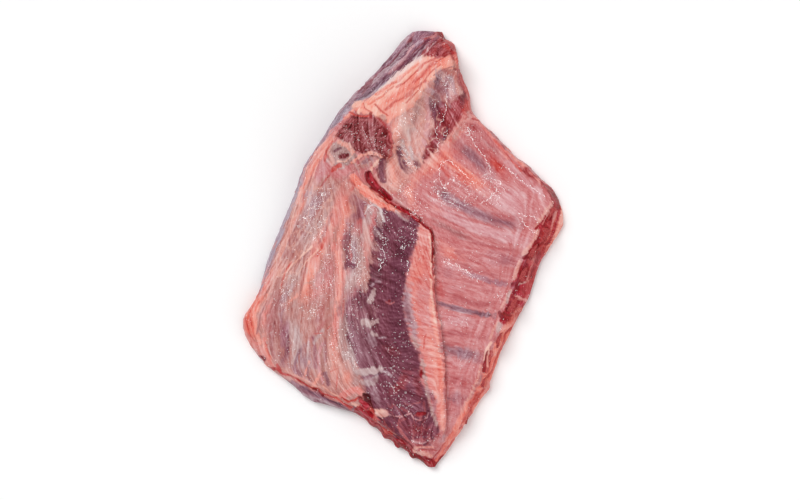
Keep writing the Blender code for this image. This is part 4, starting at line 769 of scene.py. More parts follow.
# Smooth random values from -1 to 1, with bumps of the given size; the large numbers only mix the bits.
def grain(x, y, size, seed):
    gx, gy = x / size + seed * 17.13, y / size + seed * 9.71
    ix, iy = np.floor(gx).astype(np.int64), np.floor(gy).astype(np.int64)
    fx, fy = gx - ix, gy - iy
    fx, fy = fx * fx * (3 - 2 * fx), fy * fy * (3 - 2 * fy)

    def corner(i, j):
        mixed = (i * 374761393 + j * 668265263 + seed * 974634777) & 0xFFFFFFFF
        mixed = ((mixed ^ (mixed >> 13)) * 1274126177) & 0xFFFFFFFF
        return ((mixed ^ (mixed >> 16)) & 0xFFFF) / 32767.5 - 1

    low = corner(ix, iy) * (1 - fx) + corner(ix + 1, iy) * fx
    high = corner(ix, iy + 1) * (1 - fx) + corner(ix + 1, iy + 1) * fx
    return low * (1 - fy) + high * fy


# The same in layers, each of half the size and strength.
def layeredGrain(x, y, size, seed, layers=3):
    return sum(grain(x, y, size / 2 ** k, seed + k) / 2 ** k for k in range(layers)) / (2 - 2 ** (1 - layers))


def lineDistance(x, y, line):
    best = np.full(x.shape, 1e9)
    for (ax, ay), (bx, by) in zip(line, line[1:]):
        dx, dy = bx - ax, by - ay
        share = np.clip(((x - ax) * dx + (y - ay) * dy) / (dx * dx + dy * dy), 0, 1)
        best = np.minimum(best, np.hypot(ax + share * dx - x, ay + share * dy - y))
    return best


# Distance to an outline, positive inside it.
def insideDistance(x, y, outline):
    closed = outline + outline[:1]
    inside = np.zeros(x.shape, bool)
    for (ax, ay), (bx, by) in zip(closed, closed[1:]):
        if ay != by:
            crosses = (ay > y) != (by > y)
            inside ^= crosses & (x < (bx - ax) * (y - ay) / (by - ay) + ax)
    return np.where(inside, 1, -1) * lineDistance(x, y, closed)


def smoothStep(value):
    value = np.clip(value, 0, 1)
    return value * value * (3 - 2 * value)


fibreMap = {
    "cell": 4.0,                                                # spacing of the grid, pixels
    "left": 230.0, "top": 20.0, "width": 350, "height": 460,    # where it lies, pixels
    "near": 9, "fall": 1.6,     # how a line's pull fades with distance
    "shortSteps": -0.7,         # the power of a step's length in its weight
    "rounds": 260,              # rounds of the solver
}


# Fibre directions on a coarse grid over the piece, and the lengths along and across the fibres.
class FibreField:
    def __init__(self):
        cell = fibreMap["cell"]
        self.cell, self.left, self.top = cell, fibreMap["left"], fibreMap["top"]
        columns, rows = int(fibreMap["width"] / cell) + 1, int(fibreMap["height"] / cell) + 1
        x, y = np.meshgrid(self.left + cell * np.arange(columns), self.top + cell * np.arange(rows))
        way = np.zeros((2,) + x.shape)
        for line in fibreLines.values():
            for (ax, ay), (bx, by) in zip(line, line[1:]):
                away = lineDistance(x, y, [(ax, ay), (bx, by)])
                weight = math.hypot(bx - ax, by - ay) ** fibreMap["shortSteps"]
                weight = weight / (away * away + fibreMap["near"]) ** fibreMap["fall"]
                way[0] += weight * (bx - ax)
                way[1] += weight * (by - ay)
        self.way = way / (np.hypot(way[0], way[1]) + 1e-12)
        self.along = self.potential(self.way[0], self.way[1])
        self.across = self.potential(-self.way[1], self.way[0])

    # The height map whose slopes fit the given ones best, by conjugate gradients.
    def potential(self, slopeX, slopeY):
        def spread(edgeX, edgeY):
            total = np.zeros(slopeX.shape)
            total[:, 1:] += edgeX
            total[:, :-1] -= edgeX
            total[1:] += edgeY
            total[:-1] -= edgeY
            return total

        goal = spread((slopeX[:, 1:] + slopeX[:, :-1]) * self.cell / 2,
                      (slopeY[1:] + slopeY[:-1]) * self.cell / 2)
        found = np.zeros(slopeX.shape)
        rest = goal.copy()
        step = rest.copy()
        size = (rest * rest).sum()
        for turn in range(fibreMap["rounds"]):
            image = spread(step[:, 1:] - step[:, :-1], step[1:] - step[:-1])
            share = size / ((step * image).sum() + 1e-20)
            found += share * step
            rest -= share * image
            newSize = (rest * rest).sum()
            step = rest + (newSize / size) * step
            size = newSize
        return found

    def read(self, grid, x, y):
        gx = np.clip((x - self.left) / self.cell, 0, grid.shape[1] - 1.001)
        gy = np.clip((y - self.top) / self.cell, 0, grid.shape[0] - 1.001)
        ix, iy = gx.astype(int), gy.astype(int)
        fx, fy = gx - ix, gy - iy
        low = grid[iy, ix] * (1 - fx) + grid[iy, ix + 1] * fx
        high = grid[iy + 1, ix] * (1 - fx) + grid[iy + 1, ix + 1] * fx
        return low * (1 - fy) + high * fy

    def direction(self, x, y):
        goX, goY = self.read(self.way[0], x, y), self.read(self.way[1], x, y)
        length = np.hypot(goX, goY) + 1e-9
        return goX / length, goY / length


# Grain drawn out along the fibres.
def fibreGrain(field, x, y, size, reach, seed, steps=6):
    total = grain(x, y, size, seed)
    for way in (1.0, -1.0):
        atX, atY = x.copy(), y.copy()
        for step in range(steps):
            goX, goY = field.direction(atX, atY)
            atX += way * goX * reach / steps
            atY += way * goY * reach / steps
            total = total + grain(atX, atY, size, seed)
    return np.clip(total / (2.2 * total.std() + 1e-6), -1, 1)


painting = {
    # Painted shade: the colours are darkened by what the gloss adds to them, and steep sides by more.
    "veil": 0.008,          # what the gloss adds to every colour, taken off again
    "steepPaintedShade": 0.015,     # what it adds on steep sides besides
    "sideSway": 6.0,        # how far the strokes sway on steep sides, pixels
    "fine": 0.25, "middle": 0.16, "broad": 0.10, "wide": 0.06,    # contrast of the fibres at four sizes
    "liftFine": 0.15, "liftMiddle": 0.26, "liftBroad": 0.28,      # their relief in mm
    "fineGrain": (1.2, 7, 3), "middleGrain": (2.6, 16, 11), "broadGrain": (6.5, 34, 15),  # size, reach, seed
    "wideGrain": (20, 21),          # size in pixels, seed
    "drift": (0.8, 0.5),            # how far a pattern moves with height, so that steep sides vary too
    "patchWander": 0.6,             # share of a patch's wander that is used
    "strokeWander": (0.2, 1.2),     # a stroke's wander: share of its width, and the most, pixels
    "feather": (0.8, 2.5),          # its ragged edge: share of its softness, and the most, pixels
    "fadeFrom": 2,                  # strokes softer than this fade towards their ends
    "veinLift": 0.2, "combLift": -0.15,
    "veinWidth": 0.16,
    "frost": 0.07,                  # frost that lies everywhere
}


# Paints the meat: colour, strength of the fibres, lift in mm and frost for every point.
def paintMeat(field, x, y, height, steep):
    driftX, driftY = x + painting["drift"][0] * height, y + painting["drift"][1] * height
    fine, middle, broad = [fibreGrain(field, driftX, driftY, *painting[size + "Grain"])
                           for size in ("fine", "middle", "broad")]
    wide = layeredGrain(driftX, driftY, *painting["wideGrain"])
    wanderX, wanderY = grain(driftX, driftY, 9, 41), grain(driftX, driftY, 9, 51)
    nearX, nearY = layeredGrain(driftX, driftY, 5, 61, 2), layeredGrain(driftX, driftY, 5, 71, 2)
    sway = painting["sideSway"] * steep ** 2
    swayX, swayY = sway * wanderX, sway * wanderY
    look = np.tile(np.array(tissue["pink"]), (len(x), 1))
    lift = np.zeros(len(x))

    def lay(near, mask, name, rise):
        look[near] += mask[:, None] * (np.array(tissue[name]) - look[near])
        lift[near] += mask * rise

    everywhere = np.arange(len(x))
    for name, soft, wander, rise, outline in patches.values():
        inside = insideDistance(x + wander * wanderX * painting["patchWander"],
                                y + wander * wanderY * painting["patchWander"], outline)
        lay(everywhere, smoothStep(0.5 + (inside + 2.2 * middle) / soft), name, rise)
    for family in allStrokes:
        for name, width, soft, strength, rise, line in family.values():
            reach = width + soft + 6
            left, right = min(p[0] for p in line) - reach, max(p[0] for p in line) + reach
            low, high = min(p[1] for p in line) - reach, max(p[1] for p in line) + reach
            near = np.nonzero((x > left) & (x < right) & (y > low) & (y < high))[0]
            wander = min(painting["strokeWander"][1], width * painting["strokeWander"][0])
            away = lineDistance(x[near] + wander * nearX[near] + swayX[near],
                                y[near] + wander * nearY[near] + swayY[near], line)
            feather = min(painting["feather"][1], painting["feather"][0] * soft)
            feather = feather * (0.6 * fine[near] + 0.7 * middle[near])
            mask = strength * smoothStep(0.5 + (width / 2 - away + feather) / soft)
            if soft > painting["fadeFrom"]:
                toEnd = np.minimum(*(np.hypot(x[near] - px, y[near] - py) for px, py in (line[0], line[-1])))
                mask *= smoothStep(0.3 + 0.8 * toEnd / (width + soft))
            lay(near, mask, name, rise)
    for name, size, strength, outline in veins.values():
        inside = smoothStep((insideDistance(x, y, outline) + 1.5) / 3)
        near = np.nonzero(inside > 0)[0]
        atX, atY = driftX[near] + 2 * nearX[near], driftY[near] + 2 * nearY[near]
        thread = np.abs(fibreGrain(field, atX, atY, size, size, 33, 3)) / painting["veinWidth"]
        lay(near, strength * inside[near] * smoothStep(1.2 - thread), name, painting["veinLift"])
    for name, spacing, strength, acrossFibres, outline in combs.values():
        inside = smoothStep((insideDistance(x, y, outline) + 1.5) / 3)
        near = np.nonzero(inside > 0)[0]
        coordinate = field.read(field.along if acrossFibres else field.across, x[near], y[near])
        wave = np.sin(2 * math.pi * (coordinate + 0.5 * nearX[near]) / spacing)
        comb = smoothStep((wave - 0.1) / 0.8) * smoothStep(0.7 + 0.6 * middle[near])
        lay(near, strength * inside[near] * comb, name, painting["combLift"])

    # Darker and redder, or paler, along the fibres.
    depth = painting["fine"] * fine + painting["middle"] * middle + painting["broad"] * broad
    depth = 1 - look[:, 3] * depth - painting["wide"] * wide
    # The veil is painted shade: every colour is darkened by the gloss's reflection, steep sides more than
    # flat ones.
    veil = painting["veil"] + painting["steepPaintedShade"] * steep
    tone = np.maximum(look[:, :3] - veil[:, None], 0.003) ** depth[:, None]
    lift += (painting["liftFine"] * fine + painting["liftMiddle"] * middle) * look[:, 3]
    lift += painting["liftBroad"] * broad
    frost = np.full(len(x), painting["frost"])
    for reach, strength, line in frostBeds.values():
        frost = np.maximum(frost, strength * np.exp(-(lineDistance(x, y, line) / reach) ** 2))
    return np.clip(tone, 0.002, 0.95), look[:, 3], lift, frost


def selectOnly(thing):
    bpy.ops.object.select_all(action="DESELECT")
    thing.select_set(True)
    bpy.context.view_layer.objects.active = thing


# A free copy of a CAD node, with its loose triangles merged.
def copyOfNode(name, newName):
    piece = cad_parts[name].copy()
    piece.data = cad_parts[name].data.copy()
    bpy.context.scene.collection.objects.link(piece)
    piece.name = piece.data.name = newName
    piece.parent = None
    for key in [k for k in piece.keys() if k.startswith("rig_")]:
        del piece[key]
    piece.data.materials.clear()
    selectOnly(piece)
    bpy.ops.mesh.customdata_custom_splitnormals_clear()
    bpy.ops.object.mode_set(mode="EDIT")
    bpy.ops.mesh.select_all(action="SELECT")
    bpy.ops.mesh.remove_doubles(threshold=0.00001)
    bpy.ops.object.mode_set(mode="OBJECT")
    return piece


def applyModifier(piece, kind, **values):
    selectOnly(piece)
    added = piece.modifiers.new(kind.lower(), kind)
    for key, value in values.items():
        setattr(added, key, value)
    bpy.ops.object.modifier_apply(modifier=added.name)


def pointsOf(mesh):
    flat = np.empty(len(mesh.vertices) * 3)
    mesh.vertices.foreach_get("co", flat)
    return flat.reshape(-1, 3)


def setPoints(mesh, points):
    mesh.vertices.foreach_set("co", points.ravel())
    mesh.update()


def normalsOf(mesh):
    flat = np.empty(len(mesh.vertices) * 3, np.float32)
    mesh.vertices.foreach_get("normal", flat)
    return flat.reshape(-1, 3).astype(float)


def addAttribute(mesh, name, kind, values):
    made = mesh.attributes.new(name, kind, "POINT")
    if kind == "FLOAT_COLOR":
        values = np.column_stack([values, np.ones(len(values))])
    made.data.foreach_set({"FLOAT_COLOR": "color", "FLOAT_VECTOR": "vector", "FLOAT": "value"}[kind],
                          values.astype(np.float32).ravel())


breast = {
    "voxel": 0.00056,       # grid of the fine mesh, metres
    "plugBack": 0.0026,     # how far the filled channels stop behind the bone ends
    "plugHeight": 1.16,     # a plug's height as a share of its bone's, so that it fills the channel
    "smoothing": 12,
    "steepness": (1.2, 1.4),    # start and slope of how steep a place counts, from its normal
    "sideWaves": 0.5,       # how far the sides wave, mm
    "sideSwell": 0.8,       # what the smoothing took off the sides, mm
    "waveSize": 7,          # pixels
    "foot": (0.0015, 0.004),    # the height where sculpting starts, and over which it grows
    "under": 0.0005,        # faces below this height and facing down are the underside
}

# Parts of the outline that are drawn out: by how much, over what reach and where, all in pixels.
pushes = {
    "neck corner": (-0.5, -0.5, 8, [(411, 35), (413, 33)]),
    "neck nub": (1, -3.5, 3.5, [(439, 33), (441, 33)]),
    "neck side": (4, 0, 7, [(449, 44), (451, 58), (456, 74)]),
    "neck side low": (3, 0, 8, [(460, 88), (465, 100)]),
    "first rag": (-1.5, 2, 3, [(372, 422), (374, 424)]),
    "second rag": (-1, 2.5, 3, [(384, 435), (386, 436)]),
    "third rag": (-1, 2, 2.5, [(397, 446), (399, 447)]),
    "fourth rag": (-1, 2.5, 3, [(411, 457), (413, 458)]),
    "fringe knob": (3, 1, 4, [(487, 388), (487, 392)]),
    "shoulder bump": (1.5, -1.5, 5, [(524, 162), (530, 167)]),
}


# The fine meat: the CAD slab with its channels filled behind the bone ends, remeshed and smoothed.
def makeBreast():
    slab = copyOfNode("breast_and_flap", "lambBreast")
    plugs = []
    for name in sorted(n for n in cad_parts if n.startswith("rib_bone")):
        plug = copyOfNode(name, name + "Plug")
        points = pointsOf(plug.data)
        middle = points.mean(0)
        points = middle + (points - middle) * np.array([1.0, 1.0, breast["plugHeight"]])
        points[:, 0] -= breast["plugBack"]
        setPoints(plug.data, points)
        plugs.append(plug)
    bpy.ops.object.select_all(action="DESELECT")
    for plug in plugs:
        plug.select_set(True)
    slab.select_set(True)
    bpy.context.view_layer.objects.active = slab
    bpy.ops.object.join()
    applyModifier(slab, "REMESH", mode="VOXEL", voxel_size=breast["voxel"], use_smooth_shade=True)
    applyModifier(slab, "SMOOTH", factor=0.5, iterations=breast["smoothing"])
    return slab


# Takes off the fine underside and closes it again, flat and in its own material.
def closeUnderside(piece):
    mesh = piece.data
    selectOnly(piece)
    for face in mesh.polygons:
        face.select = face.normal.z < -0.8 and face.center.z < breast["under"]
    for edge in mesh.edges:
        edge.select = False
    for vertex in mesh.vertices:
        vertex.select = False
    bpy.ops.object.mode_set(mode="EDIT")
    bpy.ops.mesh.select_mode(type="FACE")
    bpy.ops.mesh.delete(type="FACE")
    bpy.ops.mesh.select_mode(type="VERT")
    bpy.ops.mesh.select_all(action="DESELECT")
    bpy.ops.mesh.select_non_manifold()
    bpy.ops.mesh.fill(use_beauty=True)
    bpy.ops.object.mode_set(mode="OBJECT")
    for face in mesh.polygons:
        if face.normal.z < -0.95 and face.center.z < breast["under"] and len(face.vertices) == 3:
            face.material_index = 1


def sculptBreast(piece):
    mesh = piece.data
    points, normals = pointsOf(mesh), normalsOf(mesh)
    x, y = toPixels(points)
    field = FibreField()
    up = points[:, 2] / photo["pixel"]
    steepStart, steepSlope = breast["steepness"]
    steep = np.clip(steepStart - steepSlope * np.abs(normals[:, 2]), 0, 1)
    tone, fibres, lift, frost = paintMeat(field, x, y, up, steep)
    along = field.read(field.along, x, y) * photo["pixel"]
    across = field.read(field.across, x, y) * photo["pixel"]
    addAttribute(mesh, "strand", "FLOAT_VECTOR", np.column_stack([along, across, points[:, 2]]))
    lift += breast["sideWaves"] * steep * layeredGrain(x + 0.5 * up, y - 0.7 * up, breast["waveSize"], 81)
    lift += breast["sideSwell"] * steep
    # Only the shown side is sculpted fully; the foot keeps its place on the ground.
    footStart, footRise = breast["foot"]
    share = smoothStep((points[:, 2] - footStart) / footRise) * smoothStep((normals[:, 2] + 0.6) / 0.6)
    points += normals * (lift * share * 0.001)[:, None]
    for pushX, pushY, reach, line in pushes.values():
        pull = share * np.exp(-(lineDistance(x, y, line) / reach) ** 2)
        points[:, 0] += pull * pushX * photo["pixel"]
        points[:, 1] -= pull * pushY * photo["pixel"]
    setPoints(mesh, np.clip(points, np.array(cadLow), np.array(cadHigh)))
    addAttribute(mesh, "tone", "FLOAT_COLOR", tone)
    addAttribute(mesh, "fibres", "FLOAT", fibres)
    addAttribute(mesh, "frost", "FLOAT", frost)


# Straight cuts that part the fine meat, each through two pixels, and the side of each that a piece keeps.
partings = {
    "below brisket": ((300, 185), (475, 115)),
    "flap edge": ((430, 225), (446, 430)),
    "flank ridge": ((356, 170), (338, 400)),
}
meatPieces = {
    "brisketEnd": {"below brisket": True},
    "ribPanel": {"below brisket": False, "flap edge": True},
    "flapMuscle": {"below brisket": False, "flap edge": False, "flank ridge": True},
    "flankFat": {"below brisket": False, "flap edge": False, "flank ridge": False},
}


# Cuts a piece along the line through two pixels, keeps its left or right side and closes the cut.
def cutAway(piece, start, end, keepLeft):
    selectOnly(piece)
    bpy.ops.object.mode_set(mode="EDIT")
    bpy.ops.mesh.select_all(action="SELECT")
    bpy.ops.mesh.bisect(plane_co=(*toFrame(*start), 0), use_fill=True,
                        plane_no=(end[1] - start[1], end[0] - start[0], 0),
                        clear_inner=keepLeft, clear_outer=not keepLeft)
    bpy.ops.mesh.mark_sharp()
    bpy.ops.object.mode_set(mode="OBJECT")


def partMeat(whole):
    for name, kept in meatPieces.items():
        piece = whole.copy()
        piece.data = whole.data.copy()
        bpy.context.scene.collection.objects.link(piece)
        piece.name = piece.data.name = name
        for parting, keepLeft in kept.items():
            cutAway(piece, *partings[parting], keepLeft)
        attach(piece, "root")
        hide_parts("breast_and_flap")
        print(name, len(piece.data.polygons), "faces")
    bpy.data.objects.remove(whole)


def newGroup(name, inputs, outputs):
    group = bpy.data.node_groups.new(name, "ShaderNodeTree")
    for label, kind, value in inputs:
        made = group.interface.new_socket(name=label, in_out="INPUT", socket_type=kind)
        if value is not None:
            made.default_value = value
    for label, kind in outputs:
        group.interface.new_socket(name=label, in_out="OUTPUT", socket_type=kind)
    source, result = group.nodes.new("NodeGroupInput"), group.nodes.new("NodeGroupOutput")
    return group, group.nodes, group.links.new, source.outputs, result.inputs


# Sets a number on a socket, or links another node's output to it.
def feed(link, value, socket):
    if isinstance(value, (int, float)):
        socket.default_value = value
    else:
        link(value, socket)


def addMath(nodes, link, operation, first, second):
    node = nodes.new("ShaderNodeMath")
    node.operation = operation
    feed(link, first, node.inputs[0])
    feed(link, second, node.inputs[1])
    return node.outputs["Value"]


def addNoise(nodes, link, coordinates, scale, detail, roughness=0.55):
    node = nodes.new("ShaderNodeTexNoise")
    for label, value in (("Scale", scale), ("Detail", detail), ("Roughness", roughness)):
        feed(link, value, node.inputs[label])
    link(coordinates, node.inputs["Vector"])
    return node.outputs["Fac"]


def addCells(nodes, link, coordinates, scale):
    node = nodes.new("ShaderNodeTexVoronoi")
    node.inputs["Scale"].default_value = scale
    link(coordinates, node.inputs["Vector"])
    return node.outputs


def addRange(nodes, link, value, low, high, toLow, toHigh):
    node = nodes.new("ShaderNodeMapRange")
    for label, number in (("From Min", low), ("From Max", high), ("To Min", toLow), ("To Max", toHigh)):
        feed(link, number, node.inputs[label])
    link(value, node.inputs["Value"])
    return node.outputs["Result"]


# A power for a colour that swings about 1 with the noise.
def addSwing(nodes, link, noise, span, strength):
    swing = addRange(nodes, link, noise, *span, 1.0, -1.0)
    return addMath(nodes, link, "ADD", addMath(nodes, link, "MULTIPLY", swing, strength), 1.0)


groupLook = {
    "broadScale": 170.0,                    # scales are bumps or cells for each metre
    "grainSpan": (0.3, 0.7),                # the part of a noise's values that is spread out
    "strandScale": 1100.0, "strandSpan": (0.32, 0.68),
    "strandStretch": (0.13, 1.0, 0.6),      # along the fibres, across them and upwards
    "curlScale": 130.0, "curlLine": (0.006, 0.016),
    "speckScale": 850.0, "speckEdge": (0.22, 0.42),
    "loneShare": 0.14, "curlShare": 0.9,    # share of the cells that hold a speck where Amount is 1
}


# Wet grain: a power for the colour, a roughness and a height.
def makeGrainGroup():
    group, nodes, link, given, result = newGroup(
        "wetGrain",
        [("Coordinates", "NodeSocketVector", None), ("Size", "NodeSocketFloat", 900.0),
         ("Strength", "NodeSocketFloat", 0.3), ("Rough Low", "NodeSocketFloat", 0.25),
         ("Rough High", "NodeSocketFloat", 0.5)],
        [("Power", "NodeSocketFloat"), ("Roughness", "NodeSocketFloat"), ("Height", "NodeSocketFloat")])
    small = addNoise(nodes, link, given["Coordinates"], given["Size"], 3.0, 0.6)
    large = addNoise(nodes, link, given["Coordinates"], groupLook["broadScale"], 3.0)
    link(addSwing(nodes, link, small, groupLook["grainSpan"], given["Strength"]), result["Power"])
    rough = addRange(nodes, link, large, *groupLook["grainSpan"], given["Rough Low"], given["Rough High"])
    link(rough, result["Roughness"])
    link(addMath(nodes, link, "ADD", small, large), result["Height"])
    return group


# Fine strands along the fibres, read from the piece's own strand attribute.
def makeStrandGroup():
    group, nodes, link, given, result = newGroup(
        "meatStrands",
        [("Strand", "NodeSocketVector", None), ("Strength", "NodeSocketFloat", 0.2)],
        [("Power", "NodeSocketFloat"), ("Height", "NodeSocketFloat")])
    drawn = nodes.new("ShaderNodeMapping")
    drawn.inputs["Scale"].default_value = groupLook["strandStretch"]
    link(given["Strand"], drawn.inputs["Vector"])
    noise = addNoise(nodes, link, drawn.outputs["Vector"], groupLook["strandScale"], 3.0, 0.65)
    link(addSwing(nodes, link, noise, groupLook["strandSpan"], given["Strength"]), result["Power"])
    link(noise, result["Height"])
    return group


# Ice on the surface, partly frost and partly painted glints: broken curly lines and specks, thicker where
# Amount is high.
def makeFrostAndGlintGroup():
    group, nodes, link, given, result = newGroup(
        "frostAndGlintSpecks",
        [("Coordinates", "NodeSocketVector", None), ("Amount", "NodeSocketFloat", 0.2)],
        [("Mask", "NodeSocketFloat")])
    curls = addNoise(nodes, link, given["Coordinates"], groupLook["curlScale"], 1.0)
    curls = addMath(nodes, link, "ABSOLUTE", addMath(nodes, link, "SUBTRACT", curls, 0.5), 0.0)
    curls = addRange(nodes, link, curls, *groupLook["curlLine"], 1.0, 0.0)
    cells = addCells(nodes, link, given["Coordinates"], groupLook["speckScale"])
    dots = addRange(nodes, link, cells["Distance"], *groupLook["speckEdge"], 1.0, 0.0)
    pick = nodes.new("ShaderNodeSeparateColor")
    link(cells["Color"], pick.inputs["Color"])
    rare, onCurl = [
        addMath(nodes, link, "LESS_THAN", pick.outputs[channel],
                addMath(nodes, link, "MULTIPLY", given["Amount"], groupLook[share]))
        for channel, share in (("Red", "loneShare"), ("Green", "curlShare"))]
    both = addMath(nodes, link, "MAXIMUM", rare, addMath(nodes, link, "MULTIPLY", curls, onCurl))
    link(addMath(nodes, link, "MULTIPLY", both, dots), result["Mask"])
    return group


def startMaterial(name, values):
    material = bpy.data.materials.new(name)
    material.use_nodes = True
    nodes = material.node_tree.nodes
    shader = nodes["Principled BSDF"].inputs
    for socket, value in values.items():
        shader[socket].default_value = value
    return material, nodes, material.node_tree.links.new, shader


def objectPlace(nodes):
    return nodes.new("ShaderNodeTexCoord").outputs["Object"]


def placeGroup(nodes, link, group, values):
    node = nodes.new("ShaderNodeGroup")
    node.node_tree = group
    for label, value in values.items():
        feed(link, value, node.inputs[label])
    return node.outputs


def addBump(nodes, link, height, strength, distance):
    bump = nodes.new("ShaderNodeBump")
    bump.inputs["Strength"].default_value = strength
    bump.inputs["Distance"].default_value = distance
    link(height, bump.inputs["Height"])
    return bump.outputs["Normal"]


def addPower(nodes, link, color, power):
    gamma = nodes.new("ShaderNodeGamma")
    link(color, gamma.inputs["Color"])
    link(power, gamma.inputs["Gamma"])
    return gamma.outputs["Color"]


def addRamp(nodes, link, value, tones):
    node = nodes.new("ShaderNodeValToRGB")
    stops = node.color_ramp.elements
    stops[0].position, stops[0].color = tones[0]
    stops[1].position, stops[1].color = tones[-1]
    for position, color in tones[1:-1]:
        stops.new(position).color = color
    link(value, node.inputs["Fac"])
    return node.outputs["Color"]


meatFinish = {
    "shader": {"Specular IOR Level": 0.15, "IOR": 1.4, "Coat Weight": 0.15, "Coat Roughness": 0.15},
    "grain": {"Size": 1000.0, "Strength": 0.10, "Rough Low": 0.30, "Rough High": 0.55},
    "strands": 0.22,
    # the white of the specks: partly frost, partly painted glints
    "frost": (0.92, 0.84, 0.83, 1),
    "bump": (0.6, 0.0005),      # strength, and depth in metres
}


# Wet frozen meat, coloured by the painted attribute.
def makeMeatMaterial(grainGroup, strandGroup, frostAndGlintGroup):
    material, nodes, link, shader = startMaterial("frozenMeat", meatFinish["shader"])
    place = objectPlace(nodes)
    read = {}
    for name in ("tone", "strand", "fibres", "frost"):
        attribute = nodes.new("ShaderNodeAttribute")
        attribute.attribute_name = name
        read[name] = attribute.outputs
    wet = placeGroup(nodes, link, grainGroup, {"Coordinates": place, **meatFinish["grain"]})
    pull = addMath(nodes, link, "MULTIPLY", read["fibres"]["Fac"], meatFinish["strands"])
    strands = placeGroup(nodes, link, strandGroup, {"Strand": read["strand"]["Vector"], "Strength": pull})
    specks = placeGroup(nodes, link, frostAndGlintGroup, {"Coordinates": place, "Amount": read["frost"]["Fac"]})
    color = addPower(nodes, link, read["tone"]["Color"], strands["Power"])
    color = addPower(nodes, link, color, wet["Power"])
    # White specks mixed into the colour: partly frost, partly painted glints.
    frostedAndGlinting = nodes.new("ShaderNodeMix")
    frostedAndGlinting.data_type = "RGBA"
    frostedAndGlinting.inputs["B"].default_value = meatFinish["frost"]
    link(specks["Mask"], frostedAndGlinting.inputs["Factor"])
    link(color, frostedAndGlinting.inputs["A"])
    link(frostedAndGlinting.outputs["Result"], shader["Base Color"])
    link(wet["Roughness"], shader["Roughness"])
    relief = addMath(nodes, link, "ADD", strands["Height"], wet["Height"])
    relief = addMath(nodes, link, "ADD", relief, specks["Mask"])
    link(addBump(nodes, link, relief, *meatFinish["bump"]), shader["Normal"])
    return material


# A wet surface whose tones follow a pattern; gives the height of its grain.
def finishWet(nodes, link, shader, grainGroup, finish, place, pattern):
    wet = placeGroup(nodes, link, grainGroup, {"Coordinates": place, **finish["grain"]})
    tones = addRamp(nodes, link, pattern, finish["tones"])
    link(addPower(nodes, link, tones, wet["Power"]), shader["Base Color"])
    link(wet["Roughness"], shader["Roughness"])
    return wet["Height"]


outerFinish = {
    "shader": {"Coat Weight": 0.2, "Coat Roughness": 0.3},
    "grain": {"Size": 500.0, "Strength": 0.15, "Rough Low": 0.4, "Rough High": 0.6},
    "stainScale": 28.0,
    "tones": [(0.36, (0.36, 0.09, 0.10, 1)), (0.47, (0.66, 0.30, 0.27, 1)), (0.62, (0.78, 0.44, 0.38, 1))],
    "bump": (0.5, 0.0008),
}


# Pale outer fat of the underside.
def makeOuterMaterial(grainGroup):
    material, nodes, link, shader = startMaterial("outerFat", outerFinish["shader"])
    place = objectPlace(nodes)
    stains = addNoise(nodes, link, place, outerFinish["stainScale"], 6.0)
    height = finishWet(nodes, link, shader, grainGroup, outerFinish, place, stains)
    link(addBump(nodes, link, height, *outerFinish["bump"]), shader["Normal"])
    return material


boneFinish = {
    "shader": {"Specular IOR Level": 0.2},
    "grain": {"Size": 1400.0, "Strength": 0.2, "Rough Low": 0.4, "Rough High": 0.6},
    "cellScale": 900.0,
    "tones": [(0.1, (0.22, 0.012, 0.018, 1)), (0.5, (0.42, 0.06, 0.06, 1))],
    "bump": (0.4, 0.0003),
}


# Sawn bone, red with marrow in fine cells.
def makeBoneMaterial(grainGroup):
    material, nodes, link, shader = startMaterial("sawnBone", boneFinish["shader"])
    place = objectPlace(nodes)
    cells = addCells(nodes, link, place, boneFinish["cellScale"])["Distance"]
    finishWet(nodes, link, shader, grainGroup, boneFinish, place, cells)
    link(addBump(nodes, link, cells, *boneFinish["bump"]), shader["Normal"])
    return material


# The ice glows a little: its emission is a painted glow that makes the crystals read as bright glints.
glowingIceFinish = {
    "shader": {"Base Color": (0.97, 0.95, 0.95, 1), "IOR": 1.31,
               "Emission Color": (1, 1, 1, 1), "Emission Strength": 0.25},
    "cloudScale": 1500.0, "roughness": (0.15, 0.55),
}


def makeGlowingIceMaterial():
    material, nodes, link, shader = startMaterial("ice", glowingIceFinish["shader"])
    cloudy = addNoise(nodes, link, objectPlace(nodes), glowingIceFinish["cloudScale"], 2.0)
    link(addRange(nodes, link, cloudy, *groupLook["grainSpan"], *glowingIceFinish["roughness"]), shader["Roughness"])
    return material


crystals = {
    "loose": 4600,          # single specks and specks along curls
    "tries": 14,            # places tried for each of them
    "stray": 0.6,           # how far a place strays from its mesh point, pixels
    "curl": 6.0,            # size of the curls, pixels
    "curlLine": 0.022,      # how narrow the curls are
    "single": 0.03,         # share of the places off the curls that hold a speck
    "perThreadPixel": 2.8,  # specks for each pixel of a frost thread
    "threadWaves": ((0.5, 1.3), (0.4, 0.6)),    # a thread's two waves: height in pixels, and pace
    "threadStray": 0.12,
    "size": (0.00013, 0.00040),
    "sizeSpread": (1.2, 3.0),                   # beta distribution: mostly small ones
    "crooked": (0.6, 1.5),  # how far each corner stands out
    "stand": 0.3,           # how much of its size a crystal's middle stands above the meat
    "lowest": 0.004,        # no loose ice lies lower, metres
    "above": 0.2,           # a height above all of the meat, metres
    "seed": 5,
}


